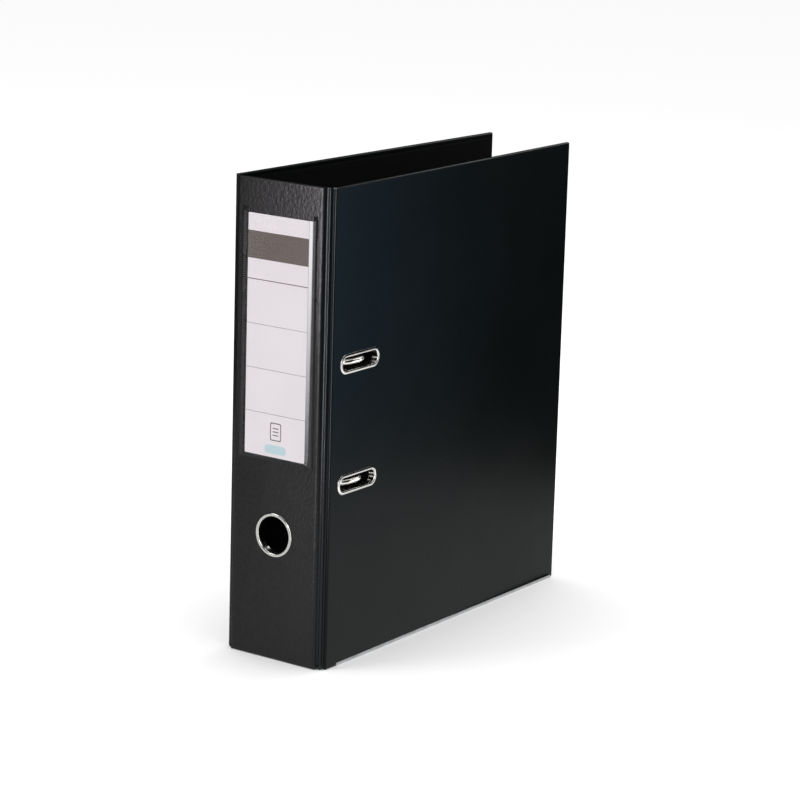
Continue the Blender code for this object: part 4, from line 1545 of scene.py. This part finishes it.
@dataclass
class SheetPosts:
    """The two fixed tubes that the sheets are threaded on."""

    panel: Panel
    radius: float = 0.0025
    bore: float = 0.0015
    bore_depth: float = 0.020
    foot_rise: float = 0.001
    foot_brow: float = 0.0005       # round of the foot's edge
    fillet: float = 0.0004          # foot to tube, and the mouth's outer round
    mouth: float = 0.0002           # mouth's inner chamfer

    def build(self) -> None:
        """Spin each post with its foot and its chamfered mouth."""
        for name in ("post_upper", "post_lower"):
            low, high = self.panel.extent(name)
            foot = (high.y - low.y) / 2
            seat = self.panel.extent("base_plate")[1].x + GAP
            rise, top = seat + self.foot_rise, high.x
            brow, fillet = self.foot_brow, self.fillet
            profile = [(0, low.x), (self.radius, low.x), (self.radius, seat), (foot, seat)]
            profile += arc((foot - brow, rise - brow), brow, 0, 90, 4)
            profile += [(self.radius + fillet, rise)]
            profile += [(self.radius, rise + fillet), (self.radius, top - fillet)]
            profile += arc((self.radius - fillet, top - fillet), fillet, 0, 90, 4)
            profile += [(self.bore + self.mouth, top), (self.bore, top - 0.0003),
                        (self.bore, top - self.bore_depth), (0, top - self.bore_depth - 0.0005)]
            piece = Workpiece()
            piece.turned(profile, self.panel.centre(name), U, sides=48)
            piece.fitted("sheet_" + name, self.panel, NICKEL, Body.BACK, name)


@dataclass
class ArchWire:
    """One wire bent into both arches, their axle and its crank, and the straps it turns in."""

    panel: Panel
    radius: float = 0.002
    arch_bend: float = 0.012
    axle_bend: float = 0.004
    crank_bend: float = 0.003
    crank_throw: float = 0.010
    crank_reach: float = 0.012
    tip_round: float = 0.0006
    strap_wall: float = 0.001
    strap_bend: float = 0.0004      # strap's foot to its hoop

    def build(self) -> None:
        """Bend the wire and its two bearing straps."""
        low, high = self.panel.extent("arch_bow")
        post = self.panel.middle("post_upper")
        tip = self.panel.extent("post_upper")[1].x + GAP
        leg = low.y + self.radius
        top = high.x - self.radius
        axle = low.x + self.radius
        upper, lower = post.z, self.panel.middle("post_lower").z
        roller = self.panel.middle("lever_roller").z
        crank = leg + self.crank_throw
        uvw = [(tip, post.y, upper), (top, post.y, upper), (top, leg, upper), (axle, leg, upper),
               (axle, leg, roller + self.crank_reach), (axle, crank, roller + self.crank_reach),
               (axle, crank, roller - self.crank_reach), (axle, leg, roller - self.crank_reach),
               (axle, leg, lower), (top, leg, lower), (top, post.y, lower), (tip, post.y, lower)]
        arch = [self.arch_bend, self.arch_bend, self.axle_bend]
        piece = Workpiece()
        piece.rod([Vector(p) for p in uvw], arch + [self.crank_bend] * 4 + arch[::-1], self.radius)
        piece.soften(self.tip_round, 3, lies_at(0, tip))
        piece.fitted("bent_arch_wire", self.panel, NICKEL, Body.ARCHES, "arch_bow")
        for name in ("arch_bearing_upper", "arch_bearing_lower"):
            self.build_strap(name, axle, leg)

    def build_strap(self, node: str, axle: float, leg: float) -> None:
        """Strap bent over the axle, with its two flat feet.

        Args:
            node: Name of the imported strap.
            axle: The axle's u.
            leg: Its v.
        """
        low, high = self.panel.extent(node)
        outer = self.radius + GAP + self.strap_wall
        foot, bend = low.x + self.strap_wall, self.strap_bend
        path = [(foot, low.y), (foot, leg - outer - bend), (foot + bend, leg - outer)]
        path += [(axle + outer * math.sin(a), leg - outer * math.cos(a))
                 for a in [math.pi * step / 16 for step in range(17)]]
        path += [(foot + bend, leg + outer), (foot, leg + outer + bend), (foot, high.y)]
        piece = Workpiece()
        points = [Vector((u, v, low.z)) for u, v in path]
        piece.sheet(points, W * (high.z - low.z), self.strap_wall, U)
        piece.soften(CUT_EDGE)
        piece.fitted("bent_" + node, self.panel, NICKEL, Body.BACK, node)


@dataclass
class Lever:
    """Lever with its bracket, pins, roller and plastic grip."""

    panel: Panel
    bracket_edge: float = 0.00018
    arm_edge: float = 0.00022
    pin_shank: float = 0.0015
    pin_head: float = 0.0012        # thickness of the domed heads
    pin_brow: float = 0.0003        # upright rim of a head, and the round of a plain end
    roller_rim: float = 0.0005
    grip_edge: float = 0.0009
    ribs: int = 4
    rib_from: float = 0.0055        # grip's lower end to its first rib
    rib_step: float = 0.0028
    rib_half: float = 0.0045        # half of a rib's length
    rib_size: tuple[float, float] = (0.0011, 0.0012)
    rib_round: float = 0.0004

    def build(self) -> None:
        """Dress each of the lever's pieces."""
        self.dress("lever_bracket", "pressed_lever_bracket", self.bracket_edge, Body.BACK)
        self.dress("lever_arm", "pressed_lever_arm", self.arm_edge, Body.LEVER)
        self.build_pin("lever_pin", "domed_lever_pin", Body.BACK, domed=True)
        self.build_pin("roller_pin", "turned_roller_pin", Body.LEVER, domed=False)
        self.build_roller()
        self.build_grip()

    def dress(self, node: str, name: str, edge: float, body: Body) -> None:
        """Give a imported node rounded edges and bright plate.

        Args:
            node: Name of the node.
            name: Name of the new piece.
            edge: Round of its edges.
            body: Body that it rides on.
        """
        piece = Workpiece.from_node(self.panel, node)
        piece.soften(edge)
        piece.fitted(name, self.panel, NICKEL, body, node)

    def build_pin(self, node: str, name: str, body: Body, domed: bool) -> None:
        """Pin across the lever, with domed heads or slightly rounded ends.

        Args:
            node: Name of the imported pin.
            name: Name of the new piece.
            body: Body that it rides on.
            domed: Whether it has domed heads.
        """
        low, high = self.panel.extent(node)
        head = (high.z - low.z) / 2
        half = (high.y - low.y) / 2
        middle = self.panel.middle(node).y
        brow = self.pin_brow
        if domed:
            seat, dome = half - self.pin_head, self.pin_head - brow
            right = [(self.pin_shank, seat), (head, seat)]
            right += [(head * math.cos(a), seat + brow + dome * math.sin(a))
                      for a in [math.radians(15 * step) for step in range(7)]]
        else:
            right = [(head, half - brow)] + arc((head - brow, half - brow), brow, 0, 90, 3)
            right += [(0, half)]
        profile = [(r, middle - step) for r, step in reversed(right)]
        profile += [(r, middle + step) for r, step in right]
        piece = Workpiece()
        piece.turned(profile, self.panel.centre(node, 1), V, sides=32)
        piece.fitted(name, self.panel, EDGE_STEEL, body, node)

    def build_roller(self) -> None:
        """Roller with a bore and rounded rims."""
        low, high = self.panel.extent("lever_roller")
        middle = self.panel.middle("lever_roller").y
        radius = (high.z - low.z) / 2
        half = (high.y - low.y) / 2
        pin_low, pin_high = self.panel.extent("roller_pin")
        bore = (pin_high.z - pin_low.z) / 2 + GAP
        rim = self.roller_rim
        profile = arc((radius - rim, middle + half - rim), rim, 0, 90, 4)
        profile += [(bore, middle + half), (bore, middle - half)]
        profile += arc((radius - rim, middle - half + rim), rim, 270, 360, 4)
        piece = Workpiece()
        piece.turned(profile, self.panel.centre("lever_roller", 1), V, ring=True, sides=40)
        piece.fitted("turned_lever_roller", self.panel, EDGE_STEEL, Body.ROLLER, "lever_roller")

    def build_grip(self) -> None:
        """Moulded grip with rounded edges and ribs for the finger."""
        low, high = self.panel.extent("lever_grip")
        arm = self.panel.middle("lever_arm").y
        half = (high.y - low.y) / 2

        def outer(edge: bmesh.types.BMEdge) -> bool:
            """Whether the edge meets one of the grip's two sides."""
            return any(abs(abs(vertex.co.y - arm) - half) < NEAR for vertex in edge.verts)

        piece = Workpiece.from_node(self.panel, "lever_grip")
        piece.soften(self.grip_edge, 4, outer)
        rise, width = self.rib_size
        for number in range(self.ribs):
            height = low.z + self.rib_from + self.rib_step * number
            foot = high.x - (height - low.z) * 0.12 - 2 * rise
            piece.rounded_block((foot, arm - self.rib_half, height),
                                (foot + rise, arm + self.rib_half, height + width), self.rib_round, 2)
        piece.fitted("moulded_lever_grip", self.panel, GRIP_PLASTIC, Body.LEVER, "lever_grip")


@dataclass
class Compressor:
    """Bar that holds the sheets down, and the two clips that lock it on the posts."""

    panel: Panel
    fold: float = 0.0011            # round of the bar's folds
    clip_edge: float = 0.0005
    tab_out: float = 0.0043         # a tab's place beside the post
    tab_size: tuple[float, float] = (0.0012, 0.0004)    # outwards and inwards of it
    tab_half: float = 0.0022        # half of its length
    tab_rise: float = 0.0012        # its height over the clip
    tab_foot: float = 0.0008        # its foot inside the clip
    tab_round: float = 0.0003

    def build(self) -> None:
        """Round the bar's folds and mould the clips."""
        low, high = self.panel.extent("compressor_bar")
        bar = Workpiece.from_node(self.panel, "compressor_bar")
        upper, sides = lies_at(0, high.x), lies_at(1, low.y, high.y)
        bar.soften(self.fold, 5, lambda edge: upper(edge) and sides(edge))
        bar.soften(CUT_EDGE)
        bar.fitted("folded_compressor_bar", self.panel, NICKEL, Body.COMPRESSOR, "compressor_bar")
        for name in ("upper", "lower"):
            self.build_clip("compressor_clip_" + name)

    def build_clip(self, node: str) -> None:
        """One clip with its two finger tabs.

        Args:
            node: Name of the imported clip.
        """
        low, high = self.panel.extent(node)
        middle = self.panel.middle(node)
        clip = Workpiece.from_node(self.panel, node)
        clip.soften(self.clip_edge, 3)
        before, after = self.tab_size
        for side in (-1, 1):
            v = middle.y + side * self.tab_out
            clip.rounded_block((low.x + self.tab_foot, v - before, middle.z - self.tab_half),
                               (high.x + self.tab_rise, v + after, middle.z + self.tab_half),
                               self.tab_round, 2)
        clip.fitted("moulded_" + node, self.panel, GRIP_PLASTIC, Body.COMPRESSOR, node)


# Studio

@dataclass
class Softbox:
    """A square light that looks at a point and isn't seen itself.

    It can light only some of the pieces, or leave some of them out.
    """

    name: str
    place: Vector
    aim: Vector
    size: tuple[float, float]
    watts: float
    tint: tuple[float, float, float] = (1.0, 1.0, 1.0)
    sheen_only: bool = False            # adds gloss but no light to a surface's own colour
    only_on: tuple[str, ...] = ()       # the only pieces that it lights
    not_on: tuple[str, ...] = ()        # pieces that it doesn't light
    shaded_by: tuple[str, ...] = ()     # the only pieces that stand in its way

    def build(self) -> None:
        """Hang the light and link it to the pieces that it lights."""
        lamp = bpy.data.lights.new(self.name, "AREA")
        lamp.shape = "RECTANGLE"
        lamp.size, lamp.size_y = self.size
        lamp.energy = self.watts
        lamp.color = self.tint
        item = bpy.data.objects.new(self.name, lamp)
        item.location = self.place
        item.rotation_mode = "QUATERNION"
        item.rotation_quaternion = (self.aim - self.place).to_track_quat("-Z", "Y")
        item.visible_camera = False
        item.visible_diffuse = not self.sheen_only
        bpy.context.scene.collection.objects.link(item)
        if self.only_on:
            item.light_linking.receiver_collection = self.linked(self.only_on, "INCLUDE")
        if self.not_on:
            item.light_linking.receiver_collection = self.linked(self.not_on, "EXCLUDE")
        if self.shaded_by:
            item.light_linking.blocker_collection = self.linked(self.shaded_by, "INCLUDE")

    def linked(self, names: tuple[str, ...], state: str) -> bpy.types.Collection:
        """Put pieces in a collection that the light is linked to.

        Args:
            names: Names of the pieces.
            state: INCLUDE or EXCLUDE.

        Returns:
            The collection.
        """
        pieces = bpy.data.collections.new(self.name + "_pieces")
        for name in names:
            pieces.objects.link(bpy.data.objects[name])
        for entry in pieces.collection_objects:
            entry.light_linking.link_state = state
        return pieces


@dataclass
class Studio:
    """Pale table that ends in the dark, soft lights, and the camera."""

    floor_half: float = 12.0
    floor_shade: float = 0.95
    dark_shade: float = 0.01
    table_radius: float = 0.63
    table_middle: Vector = Vector((-0.12, -0.20, 0.001))
    table_glow: float = 0.68
    ground_spread: float = 20.0     # dark ground's rim, as a multiple of the table's
    ceiling_size: tuple[float, float, float] = (2.2, 0.5, 1.0)     # lower and upper radius, height
    ceiling_middle: Vector = Vector((0, 0, 2.5))
    ceiling_glow: float = 0.25
    shaded: tuple[float, float] = (0.076, 0.28)     # dark sheet, seen only in gloss, that stands in for the shadow on the ground between the covers: x and y
    shaded_height: float = 0.002
    aim: Vector = Vector((-0.0015, -0.0033, 0.1513))
    azimuth: float = 35.75
    elevation: float = 13.22
    roll: float = 1.68
    distance: float = 2.0556
    lens: float = 135.3
    view_range: tuple[float, float] = (0.05, 60.0)

    def build(self) -> None:
        """Set up everything round the file."""
        self.build_world()
        self.build_floor()
        self.build_dark_room()
        self.build_lights()
        self.build_camera()

    def build_world(self) -> None:
        """Even, soft light from all round, which the gloss doesn't see."""
        world = bpy.data.worlds.new("studio")
        world.use_nodes = True
        background = world.node_tree.nodes["Background"]
        background.inputs["Color"].default_value = colour(1.0, 1.0, 1.0)
        background.inputs["Strength"].default_value = 1.0
        world.cycles_visibility.glossy = False
        bpy.context.scene.world = world

    def staged(self, name: str, shape: bmesh.types.BMesh, shade: float,
               glow: float = 0.0) -> bpy.types.Object:
        """Make a matt stage object from a finished shape.

        Args:
            name: Name of the object.
            shape: Its shape, which is used up.
            shade: How pale it is.
            glow: Light that it gives off.

        Returns:
            The object.
        """
        mesh = bpy.data.meshes.new(name)
        shape.to_mesh(mesh)
        shape.free()
        paint = bpy.data.materials.new(name)
        paint.use_nodes = True
        shader = paint.node_tree.nodes["Principled BSDF"]
        shader.inputs["Base Color"].default_value = colour(shade, shade, shade)
        shader.inputs["Roughness"].default_value = 1.0
        shader.inputs["Specular IOR Level"].default_value = 0.0
        shader.inputs["Emission Color"].default_value = colour(1.0, 1.0, 1.0)
        shader.inputs["Emission Strength"].default_value = glow
        mesh.materials.append(paint)
        item = bpy.data.objects.new(name, mesh)
        bpy.context.scene.collection.objects.link(item)
        return item

    def build_floor(self) -> None:
        """Plain pale floor."""
        shape = bmesh.new()
        bmesh.ops.create_grid(shape, x_segments=1, y_segments=1, size=self.floor_half)
        self.staged("pale_floor", shape, self.floor_shade)

    def build_dark_room(self) -> None:
        """What only gloss sees: lit table top and ceiling, the dark ground round the file, and a dark
        sheet for the shadow on the ground between the covers.
        """
        place = Matrix.Translation(self.table_middle)
        table = bmesh.new()
        bmesh.ops.create_circle(table, cap_ends=True, radius=self.table_radius,
                                segments=ROUND_SIDES, matrix=place)
        ground = bmesh.new()
        ring = bmesh.ops.create_circle(ground, cap_ends=False, radius=self.table_radius,
                                       segments=ROUND_SIDES, matrix=place)["verts"]
        edges = once(edge for vertex in ring for edge in vertex.link_edges)
        grown = bmesh.ops.extrude_edge_only(ground, edges=edges)["geom"]
        bmesh.ops.scale(ground, vec=(self.ground_spread, self.ground_spread, 1),
                        verts=only(bmesh.types.BMVert, grown))
        ceiling = bmesh.new()
        lower, upper, height = self.ceiling_size
        bmesh.ops.create_cone(ceiling, cap_ends=False, segments=ROUND_SIDES, radius1=lower,
                              radius2=upper, depth=height,
                              matrix=Matrix.Translation(self.ceiling_middle))
        # painted shadow: a dark sheet over the lit table between the covers, where the ground lies in
        # shade
        shade = bmesh.new()
        bmesh.ops.create_grid(shade, x_segments=1, y_segments=1, size=0.5,
                              matrix=Matrix.Translation((0, 0, self.shaded_height))
                              @ Matrix.Diagonal((*self.shaded, 1, 1)))
        for item in (self.staged("lit_table", table, 0.0, self.table_glow),
                     self.staged("shaded_ground", shade, self.dark_shade),
                     self.staged("lit_ceiling", ceiling, 0.0, self.ceiling_glow),
                     self.staged("dark_ground", ground, self.dark_shade)):
            item.visible_camera = False
            item.visible_diffuse = False
            item.visible_shadow = False
            item.visible_transmission = False

    def build_lights(self) -> None:
        """Key from the front left, top and back lights, and those that only give sheen."""
        middle = Vector((0, 0, 0.16))
        rims = ("rolled_slot_rim_upper", "rolled_slot_rim_lower")
        wire = ("bent_arch_wire",)
        seen_steel = rims + ("rolled_finger_ring",) + wire
        spine = ("spine_cover_foil", "pressed_pocket_ribs")
        cover = ("front_cover_foil",)
        crest = cover + ("front_creased_hinge",)
        Softbox("key", Vector((-1.1, -1.5, 1.3)), middle, (0.9, 0.9), 10).build()
        Softbox("top", Vector((0.1, 0.2, 1.8)), middle, (1.4, 1.4), 7).build()
        Softbox("back", Vector((0.3, 1.5, 1.1)), middle, (1.2, 0.7), 6, not_on=rims).build()
        Softbox("spine_sheen", Vector((-0.005, -0.28, 0.31)), Vector((0.03, -0.14, 0.31)),
                (0.08, 0.20), 0.62, (1.0, 0.93, 1.0), sheen_only=True, only_on=spine).build()
        Softbox("spine_side", Vector((0.02, -0.36, 0.16)), Vector((0.03, -0.14, 0.16)),
                (0.08, 0.34), 0.6, sheen_only=True, only_on=spine).build()
        Softbox("crest_glint", Vector((0.01, -0.37, 0.24)), Vector((0.04, -0.14, 0.22)),
                (0.03, 0.40), 1.7, (0.80, 0.90, 1.0), sheen_only=True, only_on=crest).build()
        Softbox("hinge_sheen", Vector((0.40, -0.95, 0.50)), Vector((0.04, -0.14, 0.26)),
                (0.12, 0.40), 2.2, (0.78, 0.88, 1.0), sheen_only=True).build()
        Softbox("cover_sheen", Vector((0.50, 0.36, 0.16)), Vector((0.04, -0.1, 0.16)),
                (0.12, 0.36), 0.36, (0.35, 0.68, 1.0), sheen_only=True, only_on=cover).build()
        Softbox("steel_fill", Vector((0.52, -0.48, 0.37)), Vector((0.04, -0.12, 0.17)),
                (0.60, 0.70), 2.3, sheen_only=True, only_on=seen_steel).build()
        Softbox("steel_table", Vector((0.8, 0.1, 0.004)), Vector((0.8, 0.1, 1.0)),
                (1.2, 1.8), 5.0, sheen_only=True, only_on=seen_steel).build()
        Softbox("wire_glint", Vector((0.23, 0.18, 0.12)), Vector((0.03, -0.10, 0.18)),
                (0.24, 0.24), 0.22, (1.0, 0.98, 0.92), sheen_only=True, only_on=wire,
                shaded_by=wire).build()

    def build_camera(self) -> None:
        """Camera that looks down the front cover and the spine."""
        a, e = math.radians(self.azimuth), math.radians(self.elevation)
        back = Vector((math.sin(a) * math.cos(e), -math.cos(a) * math.cos(e), math.sin(e)))
        lens = bpy.data.cameras.new("camera")
        lens.lens = self.lens
        lens.clip_start, lens.clip_end = self.view_range
        camera = bpy.data.objects.new("camera", lens)
        camera.location = self.aim + back * self.distance
        look = (-back).to_track_quat("-Z", "Y").to_matrix().to_4x4()
        turn = look @ Matrix.Rotation(math.radians(self.roll), 4, "Z")
        camera.rotation_mode = "QUATERNION"
        camera.rotation_quaternion = turn.to_quaternion()
        bpy.context.scene.collection.objects.link(camera)
        bpy.context.scene.camera = camera
        bpy.context.scene.view_settings.view_transform = "Standard"


def dress_boards() -> None:
    """Give the grey boards inside the panels their fibres."""
    for name in ("back_board", "spine_board", "front_board"):
        item = frame["nodes"][name]
        item.data.materials.clear()
        item.data.materials.append(GREY_BOARD.material())


def main() -> None:
    """Build the file's looks round its frame."""
    logging.basicConfig(level=logging.INFO, format="%(name)s %(message)s")
    back = cover_panel("back_outer_foil", "spine_hinge", Side.BACK)
    front = cover_panel("front_outer_foil", "front_cover_hinge", Side.FRONT)
    spine = spine_panel()

    ring = FingerRing(spine)
    rims = [SlotRim("upper", front), SlotRim("lower", front)]
    CoveredBoard("back", back, Body.BACK, COVER_FOIL).build()
    front_board = CoveredBoard("front", front, Body.FRONT, COVER_FOIL)
    front_board.build([rim.hole() for rim in rims], [rim.hole() for rim in rims])
    spine_board = CoveredBoard("spine", spine, Body.SPINE, SPINE_FOIL, shoulder=0.0022)
    spine_board.build([ring.hole()], [ring.hole()])
    EdgeStrip("back_edge_strip", back, Body.BACK).build()
    EdgeStrip("front_edge_strip", front, Body.FRONT).build()
    HingeFoil("back_creased_hinge", Side.BACK, Body.BACK).build(spine)
    HingeFoil("front_creased_hinge", Side.FRONT, Body.FRONT).build(spine)
    ring.build()
    for rim in rims:
        rim.build()
    LabelPocket(spine).build()
    BasePlate(back).build()
    SheetPosts(back).build()
    ArchWire(back).build()
    Lever(back).build()
    Compressor(back).build()
    dress_boards()
    Studio().build()


if __name__ == "__main__":
    main()
